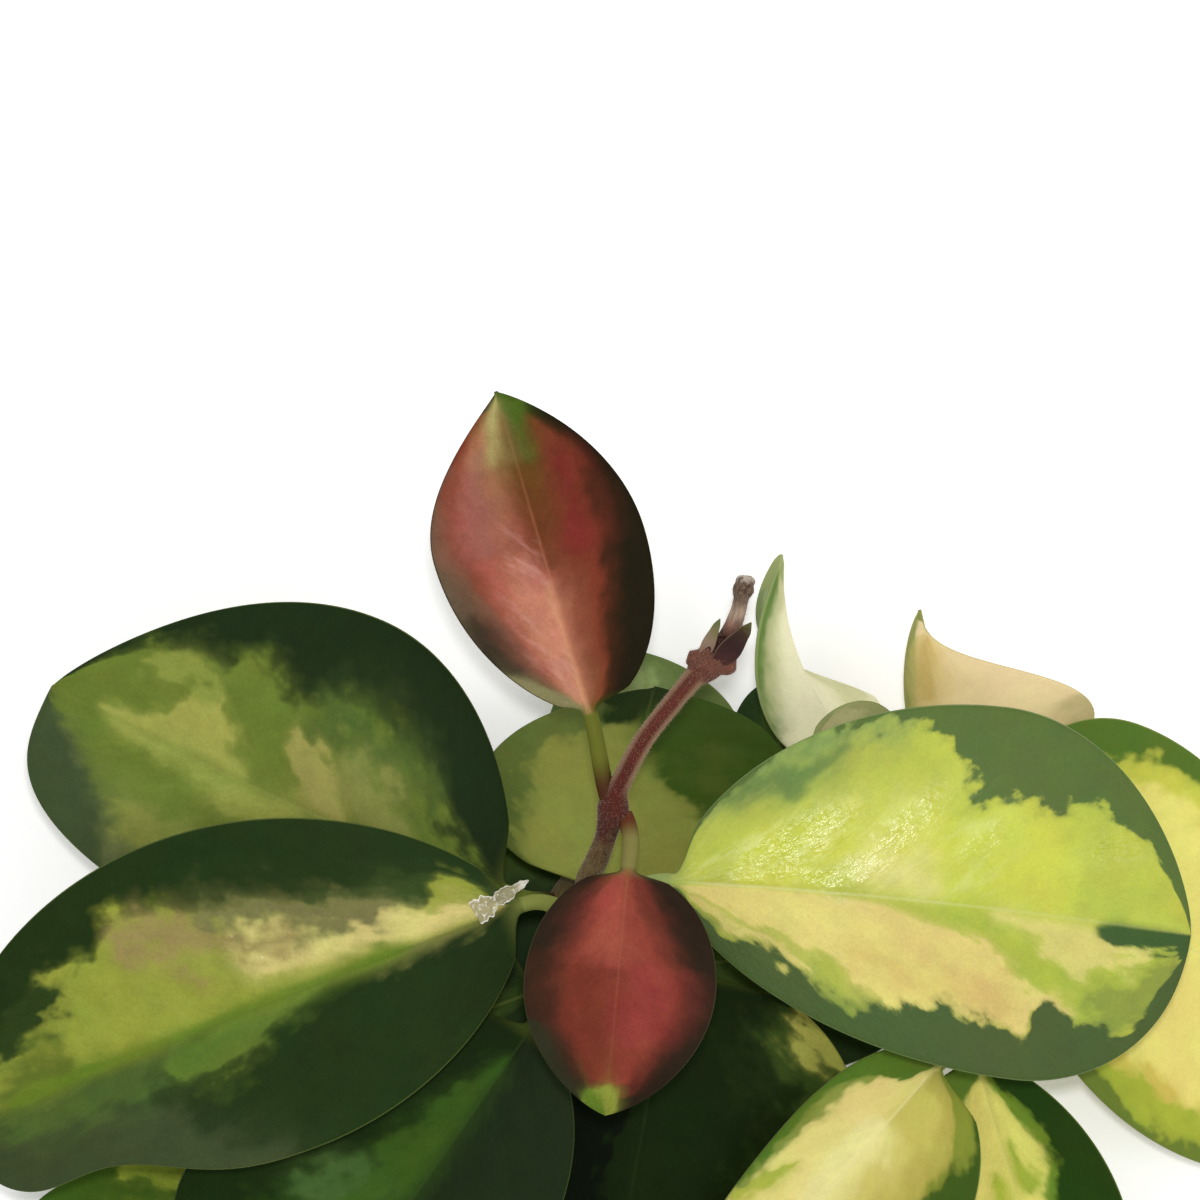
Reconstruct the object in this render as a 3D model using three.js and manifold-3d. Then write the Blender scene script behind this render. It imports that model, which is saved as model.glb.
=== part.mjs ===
// A cut length of a climbing wax-leaved vine with three-coloured leaves, lying on a flat surface.
// Millimetres, +Z up. The origin is on the surface, under the middle of the vine's box.
// The tip of the vine and its two young red leaves point along +Y, and the cut end along -Y.
import * as THREE from "three";
import { mergeVertices } from "three/addons/utils/BufferGeometryUtils.js";
import Module from "manifold-3d";

// Leaf blades and stalks
const BLADE_THICK = 1.3;
const EDGE_THICK = 0.7;
const CREASE_DEPTH = 0.25;
const RIB_DEPTH = 0.9;
const STALK_RADIUS = 1.35;
const STALK_FLARE = 1.15;
// How far the two bends of a stalk are from its ends, as a share of its length
const STALK_BEND = 0.4;
const TIP_HALF_WIDTH = 0.35;
// A blade narrower than this towards its tip is thinner too, down to half
const SLIM_HALF_WIDTH = 3;
const SLIMMEST = 0.5;
const BLADE_RINGS = 12;
const STALK_RINGS = 4;
// How soon along the blade the round stalk has become the flat blade
const STALK_FADE = 0.08;
// The parts across a blade: edge, flank, beside the midrib, midrib, and the same again
const ACROSS = [-1, -0.62, -0.1, 0, 0.1, 0.62, 1];

// Stems
const STEM_SIDES = 8;
const STEM_STEPS = 2;
const SCALE_SIDES = 8;
// How far sideways from the middle of the stem, towards its own blade, a leaf's stalk starts
const ROOT_OFFSET = 1.6;
// Clearance between the end of a leaf's stalk and the bark that it grows from
const JOINT_GAP = 0.3;

// Nodes of the vine, where pairs of leaves grow
const NODE = {
  youngPair: [-10.8, 29.7, 52],
  largePair: [-14.9, 10.7, 40],
  darkPair: [-14, -3, 29],
  lowPair: [-15, -50, 11],
  lastPair: [-16, -78, 5.5],
  leftPair: [-20, 12, 21],
  backPair: [-12.5, 22, 12],
  hiddenPair: [-20.5, -2, 18.5],
  rightPair: [51, -10, 23],
  curlPair: [49, 8, 20],
  endPair: [40.5, 28, 17.5],
  endBud: [31, 29.5, 13.5],
};

// Each stem is a list of [x, y, z, radius] along its middle
const STEMS = [
  [
    [-17.5, -102, 2.5, 2.5],
    [-17, -92, 3.4, 2.4],
    [...NODE.lastPair, 3],
    [-15.5, -70, 7, 2.3],
    [-14.5, -60, 9, 2.3],
    [...NODE.lowPair, 2.9],
    [-15.5, -40, 14, 2.2],
    [-14.5, -22, 20.5, 2.2],
    [-13.8, -10, 26, 2.2],
    [...NODE.darkPair, 2.8],
    [-14.5, 4, 35, 2.1],
    [...NODE.largePair, 2.7],
    [-15.6, 16, 44.5, 2],
    [-13.6, 20.5, 47.6, 2],
    [-11.7, 25.6, 50.4, 1.95],
    [...NODE.youngPair, 2.5],
    [-9.6, 33.5, 53.5, 1.85],
    [-5.3, 41.7, 55.4, 1.75],
    [0, 48.5, 56.6, 1.75],
    [3.2, 52.3, 57, 1.9],
  ],
  [
    [-14.5, -22, 20.5, 1.6],
    [-18.5, -12, 18, 1.9],
    [...NODE.hiddenPair, 2.4],
    [-20.8, 5, 19.5, 1.8],
    [...NODE.leftPair, 2.5],
    [-17.5, 17, 15.5, 1.7],
    [...NODE.backPair, 2.3],
    [-11.4, 23.1, 11.2, 1.3],
  ],
  [
    [-15.5, -40, 14, 1.6],
    [-6, -40, 10, 1.9],
    [10, -37, 8, 2],
    [27, -31, 11, 1.9],
    [41, -20.5, 18, 1.9],
    [...NODE.rightPair, 2.6],
    [52.5, 0, 22, 1.8],
    [...NODE.curlPair, 2.5],
    [46, 15, 19, 1.6],
    [43, 22, 18, 1.6],
    [...NODE.endPair, 2.3],
    [36, 29, 15.5, 1.5],
    [...NODE.endBud, 2],
    [30, 26.8, 12.8, 1],
    [29.5, 25.5, 12.5, 0.6],
  ],
];

// The swollen tip: the node, its two side bumps, and the flower stalk with its scaly knob
const TIP_SWELLING = [
  [3.2, 52.3, 57, 1.9],
  [5.4, 54.4, 57.1, 2.9],
  [7.4, 56.8, 57.4, 2.7],
  [8.8, 58.8, 58, 1.9],
];
const TIP_BUMPS = [
  [
    [6.2, 54.8, 57, 1.4],
    [3.4, 55.4, 57.2, 1.5],
    [2.3, 55.7, 57.3, 0.9],
  ],
  [
    [6.6, 55, 57, 1.5],
    [9.2, 54.4, 57.3, 1.7],
    [10.3, 54.2, 57.4, 1],
  ],
];
const FLOWER_STALK = [
  [7.4, 56.8, 57.4, 1.7],
  [9.6, 60.4, 58.2, 1.45],
  [10.9, 63.8, 58.8, 1.3],
  [11.5, 66.6, 59.2, 1.3],
  [11.9, 67.9, 59.4, 1.8],
  [12.2, 69.1, 59.5, 1.75],
  [12.3, 70, 59.6, 1],
];

// The two bracts at the tip are small pointed scales: foot, point, half width, the way they face,
// thickness, and how wide they are at equal steps from foot to point
const BRACT_TAPER = [0.7, 1, 0.75, 0.2];
const BRACTS = [
  {
    foot: [5.4, 56, 58.6],
    point: [7.6, 62.6, 58.4],
    half: 1.5,
    face: [-0.5, 0.2, 1],
    thick: 0.8,
    taper: BRACT_TAPER,
  },
  {
    foot: [8.2, 55.6, 59],
    point: [12.9, 61.9, 60.8],
    half: 2,
    face: [0.5, -0.3, 1],
    thick: 1,
    taper: BRACT_TAPER,
  },
];

// A dried flake of old husk that lies on the foot of the large left leaf
const FLAKE = {
  foot: [-35, 10.9, 45.15],
  point: [-25.6, 16.8, 46.8],
  half: 2.1,
  face: [0, 0, 1],
  thick: 0.9,
  taper: [0.45, 1, 0.8, 0.55, 0.75, 0.3],
};

// Leaf outlines: left and right of the midrib seen from the foot of the blade, each as
// [half width, where it is widest from foot 0 to tip 1, roundness at the foot, roundness at the tip].
// face is the way the upper side looks at the foot and at the tip of the blade.
const UP = [0, 0, 1];
const DOWN = [0, 0, -1];
const LEAVES = [
  {
    name: "leaf_young_upper",
    root: NODE.youngPair,
    base: [-14.9, 46.2, 53.5],
    tip: [-31.3, 102.2, 47],
    bow: [0, 0, 2.5],
    face: [UP, UP],
    left: [18.8, 0.55, 0.7, 1.1],
    right: [18.2, 0.48, 0.48, 0.88],
    fold: [0.12, 0.12],
    cup: -0.05,
    colour: 0x8f4a3e,
  },
  {
    name: "leaf_young_lower",
    root: NODE.youngPair,
    base: [-8.2, 18.9, 56],
    tip: [-12.2, -23.8, 57],
    bow: [0, 0, 2],
    face: [UP, UP],
    left: [17.2, 0.47, 0.5, 0.75],
    right: [16.3, 0.47, 0.5, 0.75],
    fold: [0.1, 0.1],
    cup: -0.08,
    colour: 0x7d2f30,
  },
  {
    name: "leaf_upper_left",
    root: NODE.leftPair,
    base: [-29.7, 14.5, 34],
    tip: [-109.9, 50.6, 23],
    bow: [0, -1.5, 5],
    face: [UP, UP],
    left: [27, 0.5, 0.5, 0.27],
    right: [36, 0.45, 0.67, 0.82],
    fold: [0.06, 0.06],
    cup: -0.1,
    colour: 0x4d6b35,
  },
  {
    name: "leaf_large_left",
    root: NODE.largePair,
    base: [-26.8, 12.4, 44],
    tip: [-126, -28, 22],
    bow: [0, 0.6, 5],
    face: [UP, UP],
    left: [26.5, 0.45, 0.66, 0.35],
    right: [34, 0.54, 0.73, 0.55],
    fold: [0.08, 0.08],
    cup: -0.06,
    colour: 0x57692f,
    curl: [[0.78, 0.14, 0.3, 0.35], null],
  },
  {
    name: "leaf_large_right",
    root: NODE.largePair,
    base: [-0.6, 16.6, 46],
    tip: [90.6, 7, 38],
    bow: [0, 1.2, 4],
    face: [UP, UP],
    left: [35.3, 0.6, 0.62, 0.7],
    right: [29.4, 0.7, 0.67, 0.42],
    fold: [0.05, 0.05],
    cup: -0.08,
    colour: 0xa9b85a,
  },
  {
    name: "leaf_middle_back",
    root: NODE.leftPair,
    base: [-13.1, 14.5, 32],
    tip: [-3.5, 50, 7],
    bow: [0, 0, 5],
    face: [UP, UP],
    left: [25.5, 0.45, 0.38, 0.9],
    right: [29, 0.6, 0.5, 0.28],
    fold: [-0.12, 0.03],
    cup: 0,
    colour: 0x5c7034,
  },
  {
    name: "leaf_back_top",
    root: NODE.backPair,
    base: [-9, 27, 9.5],
    tip: [-8, 56.8, 1.8],
    bow: [0, 0, 0],
    face: [UP, UP],
    left: [14, 0.5, 0.5, 0.6],
    right: [21, 0.45, 0.5, 0.62],
    fold: [0.04, 0.04],
    cup: -0.03,
    colour: 0x4a6b3a,
  },
  {
    name: "leaf_curled_left",
    root: NODE.endBud,
    base: [32.6, 38, 20],
    tip: [19, 73.8, 27],
    bow: [-4.5, 0, 0],
    face: [
      [-0.2, 0, -1],
      [-1, -0.3, -0.6],
    ],
    left: [12.3, 0.12, 0.5, 0.6],
    right: [9.5, 0.3, 0.5, 1.4],
    fold: [0.1, 0.1],
    cup: 0.1,
    colour: 0xc9ceaa,
    curl: [[0.6, 0.35, 0.58, 1], null],
  },
  {
    name: "leaf_curled_right",
    root: NODE.endPair,
    base: [51, 30.5, 19],
    tip: [43.2, 64, 31],
    bow: [0, 0, 0],
    face: [DOWN, DOWN],
    left: [26.5, 0.25, 0.5, 3],
    right: [6.4, 0.4, 0.5, 0.8],
    fold: [0.1, 0.1],
    cup: 0.05,
    colour: 0xd6c49c,
  },
  {
    name: "leaf_small_end",
    root: NODE.endPair,
    base: [39, 35.5, 27],
    tip: [25, 43.5, 31],
    bow: [0, 0, 1],
    face: [UP, UP],
    left: [8, 0.5, 0.5, 0.6],
    right: [9, 0.5, 0.5, 0.6],
    fold: [0.1, 0.1],
    cup: 0,
    colour: 0x6f7a63,
  },
  {
    name: "leaf_behind_curl",
    root: NODE.endBud,
    base: [22.5, 29, 6],
    tip: [15.5, 50.5, 1.8],
    bow: [0, 0, 1],
    face: [UP, UP],
    left: [9, 0.45, 0.5, 0.65],
    right: [9, 0.45, 0.5, 0.65],
    fold: [0.06, 0.06],
    cup: 0,
    colour: 0x35552b,
  },
  {
    name: "leaf_far_right",
    root: NODE.curlPair,
    base: [52, 18, 26],
    tip: [127.35, -9, 0.3],
    bow: [0, 0, 6],
    face: [UP, UP],
    left: [34.5, 0.24, 0.3, 1.5],
    right: [35.2, 0.7, 1.02, 0.5],
    fold: [0.04, 0.04],
    cup: 0,
    colour: 0xc4bf62,
  },
  {
    name: "leaf_lower_yellow",
    root: NODE.rightPair,
    base: [46.4, -15.9, 33],
    tip: [-2.6, -72.4, 17],
    bow: [0, 0, 5],
    face: [UP, UP],
    left: [25, 0.45, 0.45, 0.6],
    right: [13.3, 0.35, 0.35, 0.5],
    fold: [0, -0.3],
    cup: 0,
    colour: 0xcdc274,
  },
  {
    name: "leaf_lower_right",
    root: NODE.rightPair,
    base: [53, -14.5, 22.5],
    tip: [72, -76, 5],
    bow: [0, 0, 4],
    face: [UP, UP],
    left: [17.8, 0.54, 0.78, 0.6],
    right: [16, 0.5, 0.4, 0.6],
    fold: [0, 0],
    cup: 0,
    colour: 0x7f8f4a,
  },
  {
    name: "leaf_lower_left",
    root: NODE.darkPair,
    base: [-24.8, -9.1, 31],
    tip: [-70, -74, 13],
    bow: [0, 0, 5],
    face: [UP, UP],
    left: [24, 0.45, 0.58, 0.65],
    right: [36, 0.68, 0.62, 0.5],
    fold: [0.05, 0.05],
    cup: 0,
    colour: 0x3c5a30,
  },
  {
    name: "leaf_lower_corner",
    root: NODE.lowPair,
    base: [-30, -49, 12],
    tip: [-117, -53, 4],
    bow: [0, 0, 3],
    face: [UP, UP],
    left: [20, 0.5, 0.5, 0.65],
    right: [20, 0.5, 0.5, 0.33],
    fold: [0.04, 0.04],
    cup: 0,
    colour: 0x7b8f3c,
  },
  {
    name: "leaf_centre_dark",
    root: NODE.darkPair,
    base: [0, 2, 23],
    tip: [-14, -74, 12],
    bow: [0, 0, 3],
    face: [UP, UP],
    left: [38, 0.36, 0.4, 0.6],
    right: [17, 0.5, 0.5, 0.6],
    fold: [-0.12, 0],
    cup: 0,
    colour: 0x1f3a1b,
  },
  {
    name: "leaf_low_right",
    root: NODE.lowPair,
    base: [-6, -56, 9],
    tip: [52, -94, 3],
    bow: [0, 0, 2],
    face: [UP, UP],
    left: [19, 0.5, 0.5, 0.65],
    right: [19, 0.5, 0.5, 0.65],
    fold: [0.04, 0.04],
    cup: 0,
    colour: 0x4b6a35,
  },
  {
    name: "leaf_low_left",
    root: NODE.lastPair,
    base: [-25, -81, 7],
    tip: [-84, -90, 3],
    bow: [0, 0, 3],
    face: [UP, UP],
    left: [15, 0.5, 0.5, 0.65],
    right: [15, 0.5, 0.5, 0.65],
    fold: [0.04, 0.04],
    cup: 0,
    colour: 0x3f6032,
  },
  {
    name: "leaf_back_low_left",
    root: NODE.hiddenPair,
    base: [-24, -3.5, 14],
    tip: [-84, -26, 2.5],
    bow: [0, 0, 2],
    face: [UP, UP],
    left: [14, 0.5, 0.5, 0.65],
    right: [20, 0.45, 0.35, 0.65],
    fold: [0.04, 0.04],
    cup: 0,
    colour: 0x3d5f33,
  },
  {
    name: "leaf_back_right",
    root: NODE.hiddenPair,
    base: [-9, 0, 13],
    tip: [52, 5, 4],
    bow: [0, 0, 2],
    face: [UP, UP],
    left: [21, 0.5, 0.5, 0.65],
    right: [21, 0.5, 0.5, 0.65],
    fold: [0.04, 0.04],
    cup: 0,
    colour: 0x4a6a3c,
  },
  {
    name: "leaf_back_left",
    root: NODE.backPair,
    base: [-17.5, 21.3, 6.5],
    tip: [-86, 25, 0.385],
    bow: [0, 0, 2.5],
    face: [UP, UP],
    left: [28, 0.45, 0.25, 0.65],
    right: [18, 0.5, 0.5, 0.65],
    fold: [0.04, 0.04],
    cup: 0,
    colour: 0x48693a,
  },
];

const BARK = { color: 0x6a4038, roughness: 0.75, metalness: 0 };
const HUSK = { color: 0xc9c4a4, roughness: 0.5, metalness: 0 };
const WAX_ROUGHNESS = 0.42;

const wasm = await Module();
wasm.setup();

const vec = (list) => new THREE.Vector3(...list);

// A closed skin over rings of points, all with as many points, with a flat cap at each end.
// The second half of each ring is cut along the other diagonal, so that the two faces of a
// thin blade are cut alike.
function loft(rings) {
  const count = rings[0].length;
  const points = rings.flat();
  const faces = [];
  for (let r = 0; r < rings.length - 1; r++) {
    for (let k = 0; k < count; k++) {
      const a = r * count + k;
      const b = r * count + ((k + 1) % count);
      const c = b + count;
      const d = a + count;
      if (k < count / 2) faces.push(a, b, c, a, c, d);
      else faces.push(a, b, d, b, c, d);
    }
  }
  const last = (rings.length - 1) * count;
  for (let k = 1; k < count - 1; k++) {
    faces.push(0, k + 1, k);
    faces.push(last, last + k, last + k + 1);
  }
  const geometry = new THREE.BufferGeometry().setFromPoints(points);
  geometry.setIndex(faces);
  return geometry;
}

// The solid of a closed geometry, turned the right way out
function solidOf(geometry) {
  const bare = geometry.clone();
  bare.deleteAttribute("normal");
  bare.deleteAttribute("uv");
  const merged = mergeVertices(bare, 1e-4);
  const triVerts = new Uint32Array(merged.index.array);
  const vertProperties = merged.attributes.position.array;
  const solid = new wasm.Manifold(new wasm.Mesh({ numProp: 3, vertProperties, triVerts }));
  if (solid.volume() > 0) return solid;
  for (let i = 0; i < triVerts.length; i += 3) {
    [triVerts[i], triVerts[i + 1]] = [triVerts[i + 1], triVerts[i]];
  }
  return new wasm.Manifold(new wasm.Mesh({ numProp: 3, vertProperties, triVerts }));
}

function geometryOf(solid) {
  const mesh = solid.getMesh();
  const positions = new Float32Array(mesh.numVert * 3);
  for (let i = 0; i < mesh.numVert; i++) {
    const start = i * mesh.numProp;
    positions.set(mesh.vertProperties.subarray(start, start + 3), i * 3);
  }
  const geometry = new THREE.BufferGeometry();
  geometry.setAttribute("position", new THREE.BufferAttribute(positions, 3));
  geometry.setIndex(new THREE.BufferAttribute(mesh.triVerts, 1));
  geometry.computeVertexNormals();
  return geometry;
}

// A round stem along [x, y, z, radius] points, grown by extra all round
function stemSolid(route, extra) {
  const curve = new THREE.CatmullRomCurve3(route.map((p) => vec(p.slice(0, 3))));
  const steps = (route.length - 1) * STEM_STEPS;
  const rings = [];
  for (let i = 0; i <= steps; i++) {
    const span = Math.min(Math.floor(i / STEM_STEPS), route.length - 2);
    const part = i / STEM_STEPS - span;
    const radius = THREE.MathUtils.lerp(route[span][3], route[span + 1][3], part) + extra;
    const middle = curve.getPoint(i / steps);
    const ahead = curve.getTangent(i / steps);
    if (i === 0) middle.addScaledVector(ahead, -extra);
    if (i === steps) middle.addScaledVector(ahead, extra);
    const side = new THREE.Vector3().crossVectors(ahead, vec(UP)).normalize();
    const top = new THREE.Vector3().crossVectors(side, ahead);
    const ring = [];
    for (let k = 0; k < STEM_SIDES; k++) {
      const turn = (k / STEM_SIDES) * 2 * Math.PI;
      const spot = middle.clone().addScaledVector(side, radius * Math.cos(turn));
      ring.push(spot.addScaledVector(top, radius * Math.sin(turn)));
    }
    rings.push(ring);
  }
  return solidOf(loft(rings));
}

// All stems as one solid, grown by extra all round
function vineSolid(extra) {
  const routes = [...STEMS, TIP_SWELLING, ...TIP_BUMPS, FLOWER_STALK];
  const solids = routes.map((route) => stemSolid(route, extra));
  return solids.reduce((joined, next) => joined.add(next));
}

// Half width of one side of a blade, at s from foot 0 to tip 1
function halfWidth([half, widest, footRound, tipRound], s) {
  const nearFoot = s < widest;
  const away = nearFoot ? (widest - s) / widest : (s - widest) / (1 - widest);
  return half * Math.pow(Math.max(0, 1 - away * away), nearFoot ? footRound : tipRound);
}

// How level half a blade still lies at s, and how far it rises for its width, where it is
// curled up towards its upper side: curl is
// [middle of the curl from foot 0 to tip 1, spread, depth, share of the rise that is left]
function curled(curl, s) {
  if (!curl) return { level: 1, lift: 0 };
  const [middle, spread, depth, share] = curl;
  const level = 1 - depth * Math.exp(-Math.pow((s - middle) / spread, 2));
  return { level, lift: share * Math.sqrt(1 - level * level) };
}

// The directions across a leaf and out of its upper side, for a given way ahead
function leafDirections(ahead, facing) {
  const out = facing.clone().addScaledVector(ahead, -facing.dot(ahead)).normalize();
  const across = new THREE.Vector3().crossVectors(ahead, out);
  return { across, out };
}

// The point on the midrib at s, and the way ahead there
function midrib(leaf, s) {
  const base = vec(leaf.base);
  const reach = vec(leaf.tip).sub(base);
  const point = base.addScaledVector(reach, s).addScaledVector(vec(leaf.bow), 4 * s * (1 - s));
  const ahead = reach.addScaledVector(vec(leaf.bow), 4 * (1 - 2 * s)).normalize();
  return { point, ahead };
}

// Half the thickness of a blade: full at the midrib and thinner at the edge and the tip
function halfThickness(v, width) {
  const round = Math.sqrt(1 - v * v);
  const flat = THREE.MathUtils.lerp(EDGE_THICK, BLADE_THICK, round) / 2;
  return flat * THREE.MathUtils.clamp(width / SLIM_HALF_WIDTH, SLIMMEST, 1);
}

// One ring round a blade at s: the upper face from left edge to right edge, then the lower one back
function bladeRing(leaf, s) {
  const { point, ahead } = midrib(leaf, s);
  const facing = vec(leaf.face[0]).lerp(vec(leaf.face[1]), s);
  const { across, out } = leafDirections(ahead, facing);
  const flat = THREE.MathUtils.smoothstep(s, 0, STALK_FADE);
  const ring = [];
  const count = ACROSS.length;
  for (let k = 0; k < 2 * count; k++) {
    const upper = k < count;
    const v = upper ? ACROSS[k] : ACROSS[2 * count - 1 - k];
    const side = v < 0 ? leaf.left : leaf.right;
    const least = s < side[1] ? STALK_RADIUS : TIP_HALF_WIDTH;
    const width = Math.max(halfWidth(side, s), least);
    const half = v < 0 ? 0 : 1;
    const { level, lift } = curled(leaf.curl && leaf.curl[half], s);
    const rise = width * ((leaf.fold[half] + lift) * Math.abs(v) + leaf.cup * v * v);
    const thick = halfThickness(v, width);
    const middle = v === 0 ? 1 : 0;
    const crease = middle * CREASE_DEPTH * (1 - s);
    const rib = middle * RIB_DEPTH * (1 - s);
    const height = rise + (upper ? thick - crease : -thick - rib);
    const turn = Math.PI * (1 - (k + 0.5) / count);
    const x = THREE.MathUtils.lerp(STALK_RADIUS * Math.cos(turn), v * width * level, flat);
    const z = THREE.MathUtils.lerp(STALK_RADIUS * Math.sin(turn), height, flat);
    ring.push(point.clone().addScaledVector(across, x).addScaledVector(out, z));
  }
  return ring;
}

// The rings of the round stalk from inside the stem to the foot of the blade
function stalkRings(leaf) {
  const base = vec(leaf.base);
  const node = vec(leaf.root);
  const sideways = base.clone().sub(node).setZ(0).normalize();
  const root = node.addScaledVector(sideways, ROOT_OFFSET);
  const length = root.distanceTo(base);
  const start = midrib(leaf, 0).ahead;
  const leave = root.clone().lerp(base, STALK_BEND);
  const arrive = base.clone().addScaledVector(start, -STALK_BEND * length);
  const curve = new THREE.CubicBezierCurve3(root, leave, arrive, base);
  const rings = [];
  for (let i = 0; i < STALK_RINGS; i++) {
    const t = i / STALK_RINGS;
    const point = curve.getPoint(t);
    const { across, out } = leafDirections(curve.getTangent(t), vec(leaf.face[0]));
    const radius = STALK_RADIUS * THREE.MathUtils.lerp(STALK_FLARE, 1, t);
    const ring = [];
    for (let k = 0; k < 2 * ACROSS.length; k++) {
      const turn = Math.PI * (1 - (k + 0.5) / ACROSS.length);
      const spot = point.clone().addScaledVector(across, radius * Math.cos(turn));
      ring.push(spot.addScaledVector(out, radius * Math.sin(turn)));
    }
    rings.push(ring);
  }
  return rings;
}

function leafSolid(leaf) {
  const rings = stalkRings(leaf);
  for (let i = 0; i <= BLADE_RINGS; i++) {
    const s = (1 - Math.cos((i / BLADE_RINGS) * Math.PI)) / 2;
    rings.push(bladeRing(leaf, s));
  }
  return solidOf(loft(rings));
}

// A small flat scale with an oval section, from foot to point
function scaleSolid({ foot, point, half, face, thick, taper }) {
  const start = vec(foot);
  const reach = vec(point).sub(start);
  const { across, out } = leafDirections(reach.clone().normalize(), vec(face));
  const rings = taper.map((share, i) => {
    const middle = start.clone().addScaledVector(reach, i / (taper.length - 1));
    const ring = [];
    for (let k = 0; k < SCALE_SIDES; k++) {
      const turn = (k / SCALE_SIDES) * 2 * Math.PI;
      const x = half * share * Math.cos(turn);
      const z = (thick / 2) * Math.sin(turn) * (0.5 + 0.5 * share);
      ring.push(middle.clone().addScaledVector(across, x).addScaledVector(out, z));
    }
    return ring;
  });
  return solidOf(loft(rings));
}

function named(name, solid, surface) {
  const mesh = new THREE.Mesh(geometryOf(solid), new THREE.MeshStandardMaterial(surface));
  mesh.name = name;
  return mesh;
}

const vine = new THREE.Group();

const stem = BRACTS.reduce((joined, bract) => joined.add(scaleSolid(bract)), vineSolid(0));
vine.add(named("vine_stem", stem, BARK));
vine.add(named("dried_flake", scaleSolid(FLAKE), HUSK));

const clearance = vineSolid(JOINT_GAP);
for (const leaf of LEAVES) {
  const solid = leafSolid(leaf).subtract(clearance);
  const surface = { color: leaf.colour, roughness: WAX_ROUGHNESS, metalness: 0 };
  vine.add(named(leaf.name, solid, surface));
}

export default vine;
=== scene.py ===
# A cut length of a climbing wax-leaved vine with three-coloured leaves, lying on a pale table and
# seen from straight above. The sections follow the plant from its woody stem out to its leaves.
import functools
import math
import random

import bmesh
import bpy
from mathutils import Matrix, Vector, kdtree


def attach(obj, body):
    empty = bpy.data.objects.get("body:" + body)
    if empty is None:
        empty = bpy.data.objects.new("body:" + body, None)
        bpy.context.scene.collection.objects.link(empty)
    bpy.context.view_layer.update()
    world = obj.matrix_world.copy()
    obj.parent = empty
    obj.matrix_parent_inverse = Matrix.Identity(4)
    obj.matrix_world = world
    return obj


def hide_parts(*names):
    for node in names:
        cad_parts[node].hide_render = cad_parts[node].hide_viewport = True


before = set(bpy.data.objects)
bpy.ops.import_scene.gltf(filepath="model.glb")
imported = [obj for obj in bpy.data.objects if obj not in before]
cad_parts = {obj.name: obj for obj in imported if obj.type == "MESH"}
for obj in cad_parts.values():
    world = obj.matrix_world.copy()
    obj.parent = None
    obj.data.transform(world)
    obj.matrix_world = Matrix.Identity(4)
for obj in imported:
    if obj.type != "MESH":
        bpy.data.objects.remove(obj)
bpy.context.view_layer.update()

# The vine's stem: one woody shoot with two side shoots, brown-green at its cut end and maroon and
# finely hairy where it is young. It swells at each node, where a pair of leaves grew, and ends in a
# swollen tip with a short flower stalk. It grew as one piece.
MM = 0.001
YOUNG_NODE = (-10.8, 29.7, 52)
LARGE_NODE = (-14.9, 10.7, 40)
DARK_NODE = (-14, -3, 29)
LOW_NODE = (-15, -50, 11)
LAST_NODE = (-16, -78, 5.5)
LEFT_NODE = (-20, 12, 21)
BACK_NODE = (-12.5, 22, 12)
HIDDEN_NODE = (-20.5, -2, 18.5)
RIGHT_NODE = (51, -10, 23)
CURL_NODE = (49, 8, 20)
END_NODE = (40.5, 28, 17.5)
END_BUD = (31, 29.5, 13.5)
# Each route is a list of (x, y, z, radius) in millimetres along the middle of a shoot
MAIN_SHOOT = [
    (-17.5, -102, 2.5, 2.5),
    (-17, -92, 3.4, 2.4),
    (*LAST_NODE, 3),
    (-15.5, -70, 7, 2.3),
    (-14.5, -60, 9, 2.3),
    (*LOW_NODE, 2.9),
    (-15.5, -40, 14, 2.2),
    (-14.5, -22, 20.5, 2.2),
    (-13.8, -10, 26, 2.2),
    (*DARK_NODE, 2.8),
    (-14.5, 4, 35, 2.1),
    (*LARGE_NODE, 2.7),
    (-15.6, 16, 44.5, 2),
    (-13.6, 20.5, 47.6, 2),
    (-12.2, 24.2, 49.7, 1.85),
    (-11.5, 27, 51, 2.15),
    (*YOUNG_NODE, 2.75),
    (-10.3, 32, 52.9, 2.0),
    (-9.3, 34.4, 53.8, 1.8),
    (-5.3, 41.7, 55.4, 1.75),
    (0, 48.5, 56.6, 1.75),
    (3.2, 52.3, 57, 1.9),
]
LEFT_SHOOT = [
    (-14.5, -22, 20.5, 1.6),
    (-18.5, -12, 18, 1.9),
    (*HIDDEN_NODE, 2.4),
    (-20.8, 5, 19.5, 1.8),
    (*LEFT_NODE, 2.5),
    (-17.5, 17, 15.5, 1.7),
    (*BACK_NODE, 2.3),
    (-11.4, 23.1, 11.2, 1.3),
]
RIGHT_SHOOT = [
    (-15.5, -40, 14, 1.6),
    (-6, -40, 10, 1.9),
    (10, -37, 8, 2),
    (27, -31, 11, 1.9),
    (41, -20.5, 18, 1.9),
    (*RIGHT_NODE, 2.6),
    (52.5, 0, 22, 1.8),
    (*CURL_NODE, 2.5),
    (46, 15, 19, 1.6),
    (43, 22, 18, 1.6),
    (*END_NODE, 2.3),
    (36, 29, 15.5, 1.5),
    (*END_BUD, 2),
    (30, 26.8, 12.8, 1),
    (29.5, 25.5, 12.5, 0.6),
]
SWOLLEN_TIP = [(3.2, 52.3, 57, 1.9), (5.4, 54.4, 57.1, 2.9), (7.4, 56.8, 57.4, 2.7), (8.8, 58.8, 58, 1.9)]
LEFT_BUMP = [(6.2, 55, 57, 1.5), (3.5, 55.5, 57.4, 1.75), (2.1, 55.9, 57.5, 1.1)]
RIGHT_BUMP = [(6.6, 55.2, 57, 1.6), (9, 54.7, 57.4, 2.05), (10.6, 54.6, 57.5, 1.2)]
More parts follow.
